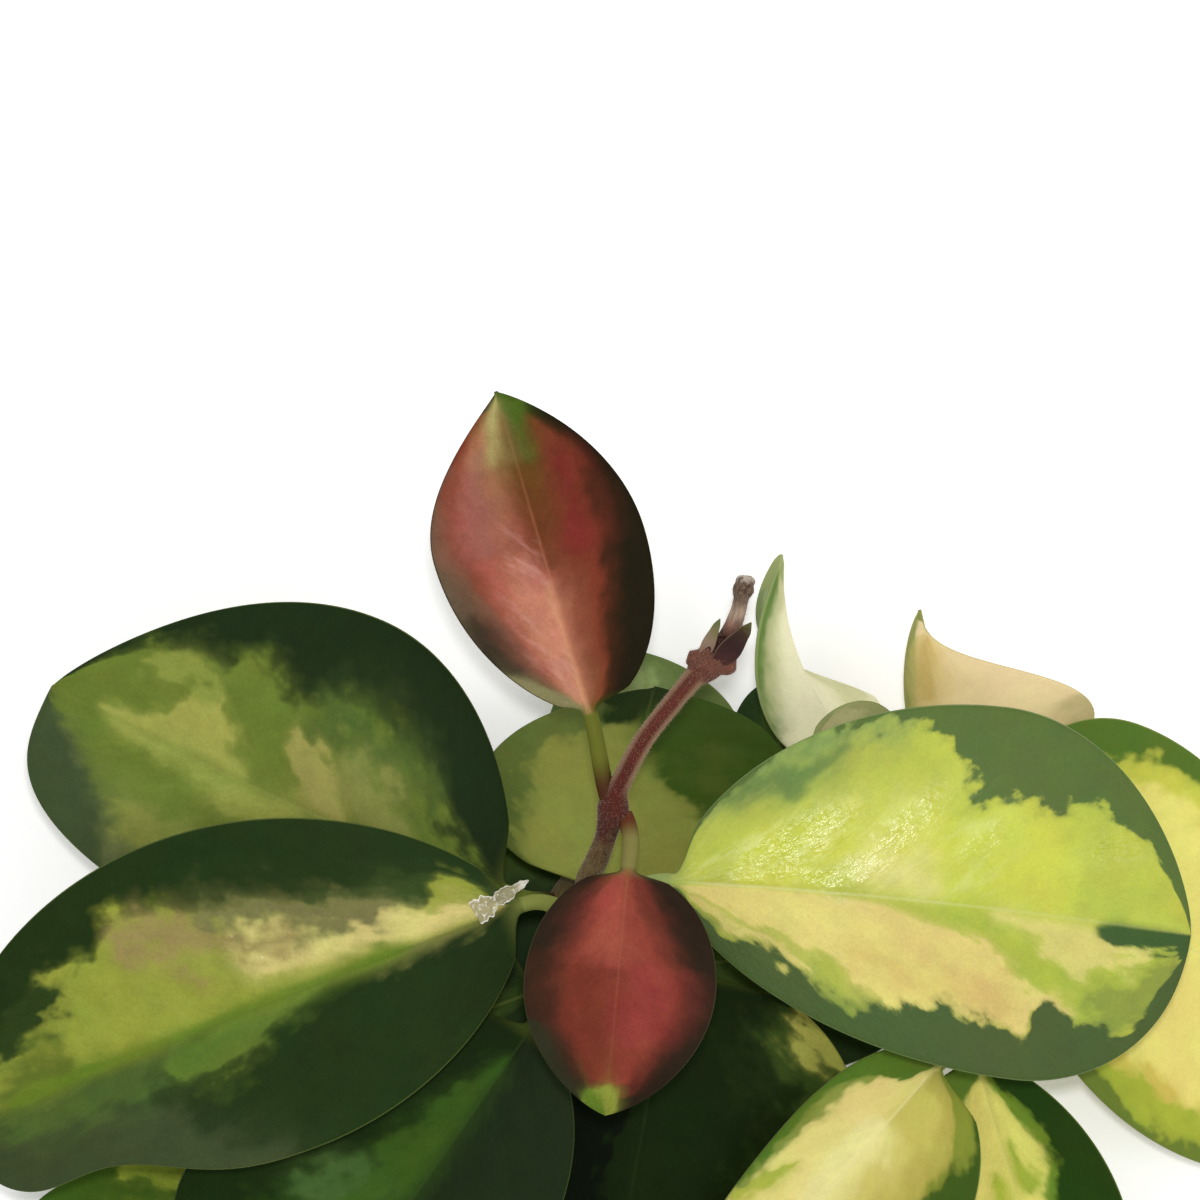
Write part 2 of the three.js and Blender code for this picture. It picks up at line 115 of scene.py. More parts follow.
LEFT_LOBE = [(-10.8, 29.7, 52, 2), (-12.3, 29.4, 52.1, 1.75), (-13.4, 29.5, 52.2, 0.9)]
RIGHT_LOBE = [(-10.8, 29.5, 52, 2), (-9.3, 28.3, 52.1, 1.7), (-8.3, 27.5, 52.2, 0.9)]
FLOWER_STALK = [
    (7.4, 56.8, 57.4, 1.8),
    (9.6, 60.4, 58.2, 1.6),
    (10.9, 63.8, 58.8, 1.4),
    (11.4, 66, 59.1, 1.35),
    (11.6, 67, 59.2, 1.75),
    (11.9, 67.9, 59.4, 1.9),
    (12.1, 68.6, 59.4, 1.55),
    (12.2, 69.2, 59.5, 1.8),
    (12.3, 70, 59.6, 1.2),
]
# Each shoot with its age at its start and its end: 0 is the oldest wood, 1 the tip, 2 the stalk's end
SHOOTS = [
    (MAIN_SHOOT, 0, 1),
    (LEFT_SHOOT, 0.4, 0.6),
    (RIGHT_SHOOT, 0.3, 0.65),
    (SWOLLEN_TIP, 1, 1.12),
    (LEFT_BUMP, 1.06, 1.06),
    (RIGHT_BUMP, 1.06, 1.06),
    (LEFT_LOBE, 0.84, 0.84),
    (RIGHT_LOBE, 0.84, 0.84),
    (FLOWER_STALK, 1.2, 2),
]
STEM_STEPS = 8
STEM_SIDES = 28
LOOK_AHEAD = 0.01
MERGE_DISTANCE = 1e-7
BARK_GRAIN = 0.27 * MM
BARK_EASING = 0.5
BARK_SMOOTHING = 3
SAMPLES_PER_SPAN = 10


def spline(route, place):
    """The values of a route at place, counted in points, on a smooth curve through its points."""
    span = min(int(place), len(route) - 2)
    t = place - span
    before, start, end, after = (Vector(route[min(max(span + k, 0), len(route) - 1)]) for k in (-1, 0, 1, 2))
    if span == 0:
        before = 2 * start - end
    if span == len(route) - 2:
        after = 2 * end - start
    bend = 2 * before - 5 * start + 4 * end - after
    return start + t * (end - before + t * (bend + t * (3 * (start - end) + after - before))) / 2


def tube(columns, rows, place, fields=()):
    """A closed tube: a grid whose points go where place(column, row) says, with its seam and ends
    joined. place gives the point, and then one vector for each named field kept on the points."""
    work = bmesh.new()
    bmesh.ops.create_grid(work, x_segments=columns, y_segments=rows, size=1)
    kept = [work.verts.layers.float_vector.new(name) for name in fields]
    for vert in work.verts:
        column = round((vert.co.x + 1) / 2 * columns)
        row = round((vert.co.y + 1) / 2 * rows)
        vert.co, *values = place(column, row)
        for layer, value in zip(kept, values):
            vert[layer] = value
    bmesh.ops.remove_doubles(work, verts=work.verts, dist=MERGE_DISTANCE)
    bmesh.ops.holes_fill(work, edges=[edge for edge in work.edges if edge.is_boundary], sides=0)
    bmesh.ops.recalc_face_normals(work, faces=work.faces)
    return work


def shoot_tube(route):
    """A shoot as a round tube along its route."""
    rows = STEM_STEPS * (len(route) - 1)

    @functools.cache
    def ring(row):
        at = row / STEM_STEPS
        here = spline(route, at)
        ahead = spline(route, at + LOOK_AHEAD) - spline(route, at - LOOK_AHEAD)
        side = ahead.to_3d().cross(Vector((0, 0, 1))).normalized()
        return here.to_3d(), side, side.cross(ahead.to_3d()).normalized(), here.w

    def place(column, row):
        middle, side, top, radius = ring(row)
        turn = 2 * math.pi * (column % STEM_SIDES) / STEM_SIDES
        return ((middle + radius * (math.cos(turn) * side + math.sin(turn) * top)) * MM,)

    return tube(STEM_SIDES, rows, place)


def piece_of(name, *works):
    """One smooth object from one or more bmeshes."""
    mesh = bpy.data.meshes.new(name)
    whole = bmesh.new()
    for work in works:
        work.to_mesh(mesh)
        work.free()
        whole.from_mesh(mesh)
    whole.to_mesh(mesh)
    whole.free()
    mesh.polygons.foreach_set("use_smooth", [True] * len(mesh.polygons))
    piece = bpy.data.objects.new(name, mesh)
    bpy.context.scene.collection.objects.link(piece)
    return piece


def applied(piece):
    """Makes what a piece's modifiers give its own mesh."""
    graph = bpy.context.evaluated_depsgraph_get()
    finished = bpy.data.meshes.new_from_object(piece.evaluated_get(graph))
    piece.modifiers.clear()
    piece.data = finished
    finished.polygons.foreach_set("use_smooth", [True] * len(finished.polygons))


vine = piece_of("vine", *(shoot_tube(route) for route, _, _ in SHOOTS))
grown = vine.modifiers.new("grown together", "REMESH")
grown.mode = "VOXEL"
grown.voxel_size = BARK_GRAIN
eased = vine.modifiers.new("eased", "SMOOTH")
eased.factor = BARK_EASING
eased.iterations = BARK_SMOOTHING
applied(vine)


def stem_samples():
    """Points along the middle of every shoot, each with the way ahead, how far along and how old."""
    samples = []
    for route, first_age, last_age in SHOOTS:
        far = 0
        last = Vector(route[0][:3])
        found = []
        for step in range(SAMPLES_PER_SPAN * (len(route) - 1) + 1):
            at = step / SAMPLES_PER_SPAN
            here = spline(route, at).to_3d()
            ahead = (spline(route, at + LOOK_AHEAD) - spline(route, at - LOOK_AHEAD)).to_3d().normalized()
            far += (here - last).length
            last = here
            found.append((here, ahead, far))
        samples += [(*sample, first_age + (last_age - first_age) * sample[2] / far) for sample in found]
    return samples


def note_bark(piece):
    """Keeps on each point of the bark its place round and along its shoot, in millimetres."""
    samples = stem_samples()
    nearest = kdtree.KDTree(len(samples))
    for index, sample in enumerate(samples):
        nearest.insert(sample[0], index)
    nearest.balance()
    for name, kind in (("grain", "FLOAT_VECTOR"), ("age", "FLOAT")):
        piece.data.attributes.new(name, kind, "POINT")
    grain, growth = (piece.data.attributes[name] for name in ("grain", "age"))
    for index, vert in enumerate(piece.data.vertices):
        spot = vert.co / MM
        here, ahead, far, age = samples[nearest.find(spot)[1]]
        growth.data[index].value = age
        side = ahead.cross(Vector((0, 0, 1))).normalized()
        off = spot - here
        grain.data[index].vector = (off.dot(side), off.dot(side.cross(ahead)), far + off.dot(ahead))


note_bark(vine)


def tint(red, green, blue):
    """A colour as a picture shows it, 0 to 255, as the light values that shaders use."""
    shares = (value / 255 for value in (red, green, blue))
    return (*(share / 12.92 if share < 0.04 else ((share + 0.055) / 1.055) ** 2.4 for share in shares), 1)


class Wire:
    """A value in a material's nodes. Sums on wires add the nodes that work them out."""

    def __init__(self, tree, socket=None):
        self.tree = tree
        self.socket = socket

    def node(self, kind, settings=(), inputs=(), output=0):
        """A new node of this kind, with its settings and then its inputs set: one of its outputs."""
        made = self.tree.nodes.new("ShaderNode" + kind)
        for name, value in dict(settings).items():
            if name == "stops":
                for _ in value[2:]:
                    made.color_ramp.elements.new(0.5)
                for stop, (where, colour) in zip(made.color_ramp.elements, value):
                    stop.position = where
                    stop.color = colour
            elif name == "points":
                curve = made.mapping.curves[0]
                for _ in value[2:]:
                    curve.points.new(0.5, 0.5)
                for point, spot in zip(curve.points, value):
                    point.location = spot
                made.mapping.update()
            else:
                setattr(made, name, value)
        for name, value in dict(inputs).items():
            if isinstance(value, Wire):
                self.tree.links.new(value.socket, made.inputs[name])
            else:
                made.inputs[name].default_value = value
        return Wire(self.tree, made.outputs[output])

    def maths(self, operation, *values):
        """What one operation of the Math node gives for these wires or numbers."""
        return self.node("Math", {"operation": operation}, dict(enumerate(values)))

    def __add__(self, other):
        return self.maths("ADD", self, other)

    __radd__ = __add__

    def __sub__(self, other):
        return self.maths("SUBTRACT", self, other)

    def __rsub__(self, other):
        return self.maths("SUBTRACT", other, self)

    def __mul__(self, other):
        return self.maths("MULTIPLY", self, other)

    __rmul__ = __mul__

    def __truediv__(self, other):
        return self.maths("DIVIDE", self, other)

    def __abs__(self):
        return self.maths("ABSOLUTE", self)

    def step(self, low, high):
        """0 below low, 1 above high, and eased in between."""
        limits = {"Value": self, "From Min": low, "From Max": high}
        return self.node("MapRange", {"interpolation_type": "SMOOTHSTEP"}, limits)

    def under(self, colour, share):
        """This colour with another laid over it by share."""
        inputs = {"Factor": share, 6: self, 7: colour}
        return self.node("Mix", {"data_type": "RGBA"}, inputs, 2)

    def split(self):
        """The three numbers of a vector or colour."""
        return [self.node("SeparateXYZ", (), {0: self}, output) for output in range(3)]

    def noise(self, scale, detail=2.0, roughness=0.5):
        """Cloudy noise at this place, as a wire from 0 to 1."""
        inputs = {"Vector": self, "Scale": scale, "Detail": detail, "Roughness": roughness}
        return self.node("TexNoise", (), inputs)

    def stretched(self, scale):
        """This place with each of its numbers multiplied by one of scale's."""
        return self.node("Mapping", (), {"Vector": self, "Scale": scale})


def vector(x, y, z):
    """A vector from three wires or numbers, of which x is a wire."""
    return x.node("CombineXYZ", (), {0: x, 1: y, 2: z})


def finish_of(name, **values):
    """A new material, with the plain values of its shader: the material, its shader and a wire."""
    material = bpy.data.materials.new(name)
    material.use_nodes = True
    shader = material.node_tree.nodes["Principled BSDF"]
    for socket, value in values.items():
        shader.inputs[socket.replace("_", " ")].default_value = value
    return material, shader, Wire(material.node_tree)


def feed(shader, **wires):
    """Leads each wire into the shader's socket of that name."""
    for socket, wire in wires.items():
        wire.tree.links.new(wire.socket, shader.inputs[socket.replace("_", " ")])


STREAK_STRETCH = 0.18


def bark():
    """Bark from brown-green at the old end to maroon on the young shoot, streaked lengthwise, and
    paler at the young shoot's sides, a painted rim highlight on its pale down.
    """
    material, shader, wire = finish_of("bark", Roughness=0.72, Specular_IOR_Level=0.06, Sheen_Weight=0.12)
    grain = wire.node("Attribute", {"attribute_name": "grain"}, (), 1)
    age = wire.node("Attribute", {"attribute_name": "age"}, (), 2) / 2
    ages = [
        (0.0, tint(96, 88, 48)),
        (0.39, tint(104, 88, 54)),
        (0.41, tint(74, 34, 26)),
        (0.43, tint(86, 36, 26)),
        (0.49, tint(96, 46, 36)),
        (0.536, tint(112, 72, 58)),
        (0.553, tint(48, 22, 18)),
        (0.68, tint(52, 27, 22)),
        (0.74, tint(128, 92, 78)),
        (0.82, tint(170, 148, 128)),
        (0.875, tint(112, 94, 78)),
        (0.965, tint(112, 94, 76)),
        (1.0, tint(204, 192, 176)),
    ]
    colour = age.node("ValToRGB", {"stops": ages}, {0: age + (grain.noise(0.5) - 0.5) * 0.03})
    streaks = grain.stretched((1, 1, STREAK_STRETCH)).noise(2.2, 4.0, 0.6)
    flecks = grain.noise(3.4, 3.0, 0.6).step(0.6, 0.72)
    colour = colour.under(tint(52, 30, 26), (1 - streaks.step(0.36, 0.6)) * 0.4)
    colour = colour.under(tint(186, 164, 140), flecks * 0.4)
    # Painted highlight: the young shoot is paler along its sides, where its pale down shows lit at the edge.
    down_and_rim_highlight = abs(grain.split()[0]).step(0.6, 1.5) * age.step(0.425, 0.44) * (1 - age.step(0.5, 0.51))
    colour = colour.under(tint(150, 122, 94), down_and_rim_highlight * 0.7)
    scars = grain.noise(1.2, 2.0).step(0.5, 0.58) * age.step(0.87, 0.9)
    colour = colour.under(tint(58, 42, 34), scars * 0.7)
    relief = streaks * 0.6 + grain.noise(5.0, 4.0, 0.7) * 0.4
    bump = relief.node("Bump", (), {"Strength": 0.55, "Distance": 0.00025, "Height": relief})
    feed(shader, Base_Color=colour, Normal=bump)
    return material


vine.data.materials.append(bark())
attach(vine, "root")
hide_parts("vine_stem")

# Two small pointed bracts on the swollen tip, thin dry scales that once sheltered the tip bud. They
# grow from the swelling on either side of the flower stalk, dark and maroon with olive points.
# Each row is a bract's foot, its point, half its width, the way it faces and its thickness, in
# millimetres, and its side.
BRACTS = [
    ((4.9, 55.8, 59.2), (7.7, 62.6, 58.6), 1.35, (-0.5, 0.2, 1), 0.8, "left"),
    ((7.5, 55.2, 59.6), (13.2, 61.8, 61.1), 2.2, (0.4, -0.3, 1), 1.0, "right"),
]
BRACT_SHARES = [0.7, 0.95, 1.0, 0.88, 0.68, 0.5, 0.06]
BRACT_COLOURS = {
    "left": [
        (0.0, tint(122, 92, 78)),
        (0.4, tint(138, 116, 96)),
        (0.7, tint(116, 110, 72)),
        (1.0, tint(88, 104, 48)),
    ],
    "right": [
        (0.0, tint(66, 34, 30)),
        (0.45, tint(44, 22, 20)),
        (0.75, tint(58, 40, 26)),
        (1.0, tint(92, 92, 48)),
    ],
}
BRACT_STEPS = 5
BRACT_SIDES = 24
BRACT_CURL = 0.35
BRACT_THINNEST = 0.3
BRACT_SUNK = 0.2


def bract(foot, point, half, face, thick):
    """A small keeled scale, hollow on its upper side."""
    reach = Vector(point) - Vector(foot)
    ahead = reach.normalized()
    out = (Vector(face) - Vector(face).dot(ahead) * ahead).normalized()
    across = ahead.cross(out)
    rows = BRACT_STEPS * (len(BRACT_SHARES) - 1)

    def place(column, row):
        share = spline([(value, 0, 0) for value in BRACT_SHARES], row / BRACT_STEPS).x
        turn = 2 * math.pi * (column % BRACT_SIDES) / BRACT_SIDES
        x = math.cos(turn)
        height = thick / 2 * math.sin(turn) * (BRACT_THINNEST + (1 - BRACT_THINNEST) * share)
        height += BRACT_CURL * half * share * x * x - BRACT_SUNK
        spot = Vector(foot) + reach * row / rows + across * (half * share * x) + out * height
        return spot * MM, (row / rows, x, 0)

    return tube(BRACT_SIDES, rows, place, ["scale"])


def bract_finish(name, colours):
    """A dry scale in colours from its foot to its point, with pale edges and fine ridges."""
    material, shader, wire = finish_of(name, Roughness=0.65, Specular_IOR_Level=0.2)
    place = wire.node("TexCoord", (), (), 3)
    along, across, _ = wire.node("Attribute", {"attribute_name": "scale"}, (), 1).split()
    colour = along.node("ValToRGB", {"stops": colours}, {0: along + (place.noise(900.0) - 0.5) * 0.3})
    colour = colour.under(tint(150, 132, 104), abs(across).step(0.92, 0.99) * 0.4)
    ridges = vector(along * 2, across * 9, 0.0).noise(1.0, 3.0, 0.6)
    bump = ridges.node("Bump", (), {"Strength": 0.5, "Distance": 0.0002, "Height": ridges})
    feed(shader, Base_Color=colour, Normal=bump)
    return material


for *form, side in BRACTS:
    scale = piece_of("tip_bract_" + side, bract(*form))
    scale.data.materials.append(bract_finish("bract_" + side, BRACT_COLOURS[side]))
    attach(scale, "root")
    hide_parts("vine_stem")

# The fine pale down on the young shoot: short soft hairs that stand off the bark between the young
# leaves and the flower stalk. They grow from the bark, spread at random above a height.
HAIR_LENGTH = 0.6 * MM
HAIR_RADIUS = 0.028 * MM
HAIR_COUNT = 3000
HAIR_LEAN = 0.5
HAIR_MIDDLE = 0.45
HAIR_FROM_HEIGHT = 46 * MM
HAIR_SEED = 11


def hairs():
    """Thin three-sided cones on the bark above a height, leaning a little at random."""
    chance = random.Random(HAIR_SEED)
    young = [face for face in vine.data.polygons if face.center.z > HAIR_FROM_HEIGHT]
    work = bmesh.new()
    for face in chance.sample(young, min(HAIR_COUNT, len(young))):
        lean = Vector([chance.uniform(-HAIR_LEAN, HAIR_LEAN) for _ in range(3)])
        way = (face.normal + lean).normalized()
        length = HAIR_LENGTH * chance.uniform(0.5, 1)
        turn = way.to_track_quat("Z", "Y").to_matrix().to_4x4()
        spot = Matrix.Translation(face.center + way * length * HAIR_MIDDLE) @ turn
        sizes = {"radius1": HAIR_RADIUS, "radius2": 0, "depth": length}
        bmesh.ops.create_cone(work, cap_ends=True, segments=3, matrix=spot, **sizes)
    return work


down = piece_of("young_shoot_hairs", hairs())
down_finish, _, _ = finish_of("down", Roughness=0.6, Base_Color=tint(196, 170, 144))
down.data.materials.append(down_finish)
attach(down, "root")

# A flake of dried husk on the foot of the large left leaf: a papery, half-clear scrap that fell from
# an old bud, with bright crumpled edges and a beaded end. It lies loose on the leaf.
FLAKE_FOOT = Vector((-35, 10.9, 45.15))
FLAKE_POINT = Vector((-25.6, 16.8, 46.8))
FLAKE_SHARES = [0.95, 1.1, 1.05, 0.8, 0.5, 0.66, 0.7, 0.45, 0.36, 0.3, 0.08]
FLAKE_HALF_WIDTH = 2.0
FLAKE_THICK = 0.16
FLAKE_FOLDS = 0.16
FLAKE_WRINKLES = 0.08
FLAKE_HOLLOW = 0.3
BEADS_FROM = 0.72
BEAD_SIZE = 0.35
FLAKE_ROWS = 60
FLAKE_SIDES = 40


def flake():
    """A crumpled scrap whose folds run across it."""
    reach = FLAKE_POINT - FLAKE_FOOT
    ahead = reach.normalized()
    across = ahead.cross(Vector((0, 0, 1))).normalized()
    out = across.cross(ahead)

    def place(column, row):
        s = row / FLAKE_ROWS
        share = spline([(value, 0, 0) for value in FLAKE_SHARES], s * (len(FLAKE_SHARES) - 1)).x
        share *= 1 + 0.1 * math.sin(31 * s) + 0.08 * math.sin(57 * s + 1)
        turn = 2 * math.pi * (column % FLAKE_SIDES) / FLAKE_SIDES
        x = math.cos(turn)
        crumple = FLAKE_FOLDS * math.sin(9 * s + 3 * x) * math.sin(21 * s - 2 * x)
        crumple += FLAKE_WRINKLES * math.sin(38 * s + 7 * x)
        beads = BEAD_SIZE * max(0, s - BEADS_FROM) * (1 + math.sin(60 * s))
        height = (FLAKE_THICK / 2 + beads) * math.sin(turn) + crumple + FLAKE_HOLLOW * x * x
        spot = FLAKE_FOOT + reach * s + across * (FLAKE_HALF_WIDTH * share * x) + out * height
        return spot * MM, (s, x, 0)

    return tube(FLAKE_SIDES, FLAKE_ROWS, place, ["sheet"])


def flake_finish():
    """Half-clear husk, whiter on its folds, its edges and its beaded end."""
    material, shader, wire = finish_of("dry_husk", Roughness=0.35, Specular_IOR_Level=0.6)
    place = wire.node("TexCoord", (), (), 3)
    along, across, _ = wire.node("Attribute", {"attribute_name": "sheet"}, (), 1).split()
    folds = place.noise(1100.0, 3.0, 0.6).step(0.5, 0.68)
    bright = folds.maths("MAXIMUM", folds, abs(across).step(0.82, 0.97))
    bright = bright.maths("MAXIMUM", bright, along.step(0.7, 0.9) * 0.8)
    shades = {"Factor": bright, 6: tint(196, 186, 146), 7: tint(246, 242, 230)}
    colour = wire.node("Mix", {"data_type": "RGBA"}, shades, 2)
    wrinkles = place.noise(2600.0, 3.0, 0.7)
    bump = wrinkles.node("Bump", (), {"Strength": 0.6, "Distance": 0.0003, "Height": wrinkles})
    feed(shader, Base_Color=colour, Normal=bump, Alpha=0.4 + bright * 0.55)
    return material


husk = piece_of("husk_flake", flake())
husk.data.materials.append(flake_finish())
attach(husk, "root")
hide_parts("dried_flake")

# The pair of young leaves next to the tip, still thin-skinned: crimson in the middle, with nearly
# black margins and yellow-green tips. Every leaf is one piece, its stalk and blade grown together,
# and it grows from a node of the stem.
# Sizes that all leaves share, in millimetres, and the counts of rows and steps in their meshes
STALK_RADIUS = 1.35
STALK_FLARE = 1.15
STALK_BEND = 0.4
STALK_FADE = 0.045
ROOT_OFFSET = 1.6
TIP_HALF_WIDTH = 0.35
OFF_BLADE = 2.0
BLADE_THICK = 1.3
EDGE_THICK = 0.7
SLIM_HALF_WIDTH = 3
SLIM_THINNEST = 0.5
CREASE_DEPTH = 0.24
CREASE_WIDTH = 0.5
RIB_DEPTH = 0.9
RIB_WIDTH = 1.1
BLADE_ROWS = 96
STALK_ROWS = 22
QUARTER_STEPS = 20
EDGE_CROWDING = 0.88
VEINS = 8
VEIN_SLANT = 0.42
VEIN_CURVE = 0.35
QUILT_REACH = 1.15
WAVES = 11
WAVE_OFFSET = 2
WAVE_PER_MM = 0.13
RIPPLED_FROM = 12
RIPPLE_AT_ENDS = 0.15
MARKING_SLANT = 0.4
MARKING_CURVE = 0.3
UP = (0, 0, 1)
DOWN = (0, 0, -1)


def mix(start, end, share):
    """The value that lies a share of the way from start to end."""
    return start + (end - start) * share


def spread(share):
    """Shares from 0 to 1, drawn closer together at both ends."""
    return share - EDGE_CROWDING * math.sin(2 * math.pi * share) / (2 * math.pi)


@functools.cache
def half_width(side, s):
    """Half width of one side of a blade at s from foot 0 to tip 1. side is the most it has, where
    that is, and how round it is towards the foot and towards the tip."""
    half, widest, foot_round, tip_round = side
    away = (widest - s) / widest if s < widest else (s - widest) / (1 - widest)
    width = half * max(0, 1 - away * away) ** (foot_round if s < widest else tip_round)
    return max(width, STALK_RADIUS if s < widest else TIP_HALF_WIDTH)


@functools.cache
def curled(curl, s):
    """How level half a blade still lies at s, and how far it rises for its width."""
    if not curl:
        return 1, 0
    middle, width, depth, share = curl
    level = 1 - depth * math.exp(-(((s - middle) / width) ** 2))
    return level, share * math.sqrt(1 - level * level)


def directions(ahead, facing):
    """The way across a leaf, and the way out of its upper face."""
    out = (facing - facing.dot(ahead) * ahead).normalized()
    return ahead.cross(out), out


def leaf(name, root, base, tip, left, right, bow=(0, 0, 0), face=(UP, UP), fold=(0.04, 0.04), cup=0.0,
         curl=(None, None), wave=0.3, quilt=0.12, rows=BLADE_ROWS, heel=(0, 0, 0)):
    """A leaf with its stalk, in millimetres: root is its node, base the end of its stalk and tip its
    point. left and right give the outline of each half, as half_width reads it, bow how the midrib
    arches, face the way the blade faces at its foot and its tip, fold and cup how the halves rise,
    curl how they roll up, wave and quilt how the blade ripples, rows how finely it is divided, and
    heel how far to one side the stalk leaves the node."""
    root, base, tip, bow = Vector(root), Vector(base), Vector(tip), Vector(bow)
    faces = [Vector(way) for way in face]
    start = (tip - base + 4 * bow).normalized()
    sideways = Vector((base.x - root.x, base.y - root.y, 0)).normalized()
    foot = root + ROOT_OFFSET * sideways + Vector(heel)
    leaving = foot.lerp(base, STALK_BEND) + Vector(heel)
    arriving = base - start * STALK_BEND * (base - foot).length

    def stalk(t):
        """The point and the way ahead on the stalk, from the stem at 0 to the blade at 1."""
        u = 1 - t
        spot = foot * u**3 + 3 * leaving * t * u**2 + 3 * arriving * t * t * u + base * t**3
        ahead = (leaving - foot) * u**2 + 2 * (arriving - leaving) * t * u + (base - arriving) * t * t
        return spot, ahead.normalized()

    @functools.cache
    def ring(row):
        """Of one row: its place along, its middle, the ways across and out, and how flat it is."""
        if row < STALK_ROWS:
            spot, ahead = stalk(row / STALK_ROWS)
            return row / STALK_ROWS - 1, spot, *directions(ahead, faces[0]), 0
        s = (1 - math.cos(math.pi * (row - STALK_ROWS) / rows)) / 2
        ahead = (tip - base + bow * 4 * (1 - 2 * s)).normalized()
        across, out = directions(ahead, faces[0].lerp(faces[1], s))
        fade = min(s / STALK_FADE, 1)
        return s, base.lerp(tip, s) + bow * 4 * s * (1 - s), across, out, fade * fade * (3 - 2 * fade)

    def profile(s, v, upper):
        """Of a point on one face of the blade: its place across and above the midrib, and how far it
        lies from the midrib and from the edge."""
        half = 0 if v < 0 else 1
        width = half_width((left, right)[half], s)
        level, lift = curled(curl[half], s)
        size = abs(v)
        x = size * width
        rise = width * ((fold[half] + lift) * size + cup * size * size)
        ripple = wave * size * size * math.sin(WAVES * s + WAVE_OFFSET * half + WAVE_PER_MM * tip.x)
        vein = s - VEIN_SLANT * size * (1 - VEIN_CURVE * size)
        swell = math.sin(math.pi * min(size * QUILT_REACH, 1))
        ripple -= quilt * math.cos(2 * math.pi * VEINS * vein) * swell
        fade = min(1, width / RIPPLED_FROM) * min(1, 6 * s * (1 - s) + RIPPLE_AT_ENDS)
        thick = mix(EDGE_THICK, BLADE_THICK, math.sqrt(1 - size * size)) / 2
        thick *= min(1, max(SLIM_THINNEST, width / SLIM_HALF_WIDTH))
        rim = min(1, (width - x) / min(thick, width))
        thick *= math.sqrt(1 - (1 - rim) ** 2)
        crease = CREASE_DEPTH * (1 - s) * math.exp(-((x / CREASE_WIDTH) ** 2))
        rib = RIB_DEPTH * (1 - s) * math.exp(-((x / RIB_WIDTH) ** 2))
        height = rise + ripple * fade + (thick - crease if upper else -thick - rib)
        return math.copysign(x * level, v), height, x, width - x

    def place(column, row):
        """The point, then its place on the blade: along, across and 1 below, and its distance in
        millimetres from the midrib and from the edge."""
        s, spot, across, out, flat = ring(row)
        column %= 4 * QUARTER_STEPS
        quarter, step = divmod(column, QUARTER_STEPS)
        share = spread(step / QUARTER_STEPS)
        v = (share - 1, share, 1 - share, -share)[quarter]
        turn = math.pi * (1 - column / (2 * QUARTER_STEPS))
        radius = STALK_RADIUS * (mix(STALK_FLARE, 1, s + 1) if s < 0 else 1)
        x, z = radius * math.cos(turn), radius * math.sin(turn)
        inner = outer = OFF_BLADE
        if s >= 0:
            flat_x, flat_z, inner, outer = profile(s, v, quarter < 2)
            x, z = mix(x, flat_x, flat), mix(z, flat_z, flat)
        lower = 0.5 if column in (0, 2 * QUARTER_STEPS) else float(quarter > 1)
        return (spot + across * x + out * z) * MM, (s, v, lower), (inner, outer, 0)

    return piece_of(name, tube(4 * QUARTER_STEPS, STALK_ROWS + rows, place, ["blade", "span"]))


# A band's edges are curves in a square from 0 to 1, where a blade takes up the middle part across.
# An edge that reaches the blade's own edge is led past it, and a band closes within a short way.
BAND_SPAN = 0.4
AT_THE_EDGE = 0.99
PAST_THE_EDGE = 1.3
BAND_END = 0.05
BAND_CLOSED = 0.1
AT_AN_END = 0.01
NEXT_TO_END = 0.001


def place_across(v):
    """A place across a blade as bands count it, from 0.1 at its left edge to 0.9 at its right one."""
    return 0.5 + v * BAND_SPAN


def edge_points(band, side):
    """The points of the left (1) or right (2) edge of a band, closed off beyond the band's ends."""
    points = []
    for row in band:
        reach = PAST_THE_EDGE if abs(row[side]) > AT_THE_EDGE else 1
        points.append((row[0], place_across(row[side] * reach)))
    away = BAND_CLOSED if side == 1 else -BAND_CLOSED
    (start, *start_edges), (end, *end_edges) = band[0], band[-1]
    if start > AT_AN_END:
        points.insert(0, (max(start - BAND_END, NEXT_TO_END), place_across(sum(start_edges) / 2) + away))
        points.insert(0, (0, points[0][1]))
    if end < 1 - AT_AN_END:
        points.append((min(end + BAND_END, 1 - NEXT_TO_END), place_across(sum(end_edges) / 2) + away))
        points.append((1, points[-1][1]))
    return [(where, min(max(value, 0), 1)) for where, value in points]


# How many clouds or dots of each kind of noise there are in a metre
LOBES = 220.0
CLOUDS = 190.0
FINE_GRAIN = 2100.0
HUE_CLOUDS = 120.0
SKIN_GRAIN = 900.0
WET_PATCHES = 330.0
DROPLETS = 800.0
SPECK_DOTS = 95.0
# Where markings begin and end: from the midrib or the edge in millimetres, or along the leaf, where
# its stalk starts at -1 and its blade goes from 0 to 1. TORN is a share of the half width, and
# SPECK_SIZE one of the space between specks.
RIB_LINE = (0.08, 0.42)
RIM_LINE = (0.05, 0.32)
ON_BLADE = (0.01, 0.06)
STALK_END = (-0.03, 0.05)
FOOT_END = (-0.9, -0.45)
TORN = (0, 0.22)
SPECK_SIZE = (0.02, 0.035)
SPECK_COLOUR = tint(232, 232, 216)
UNDERSIDE_COLOUR = tint(150, 156, 104)
BUMP_STRENGTH = 0.5
BUMP_DISTANCE = 0.4 * MM


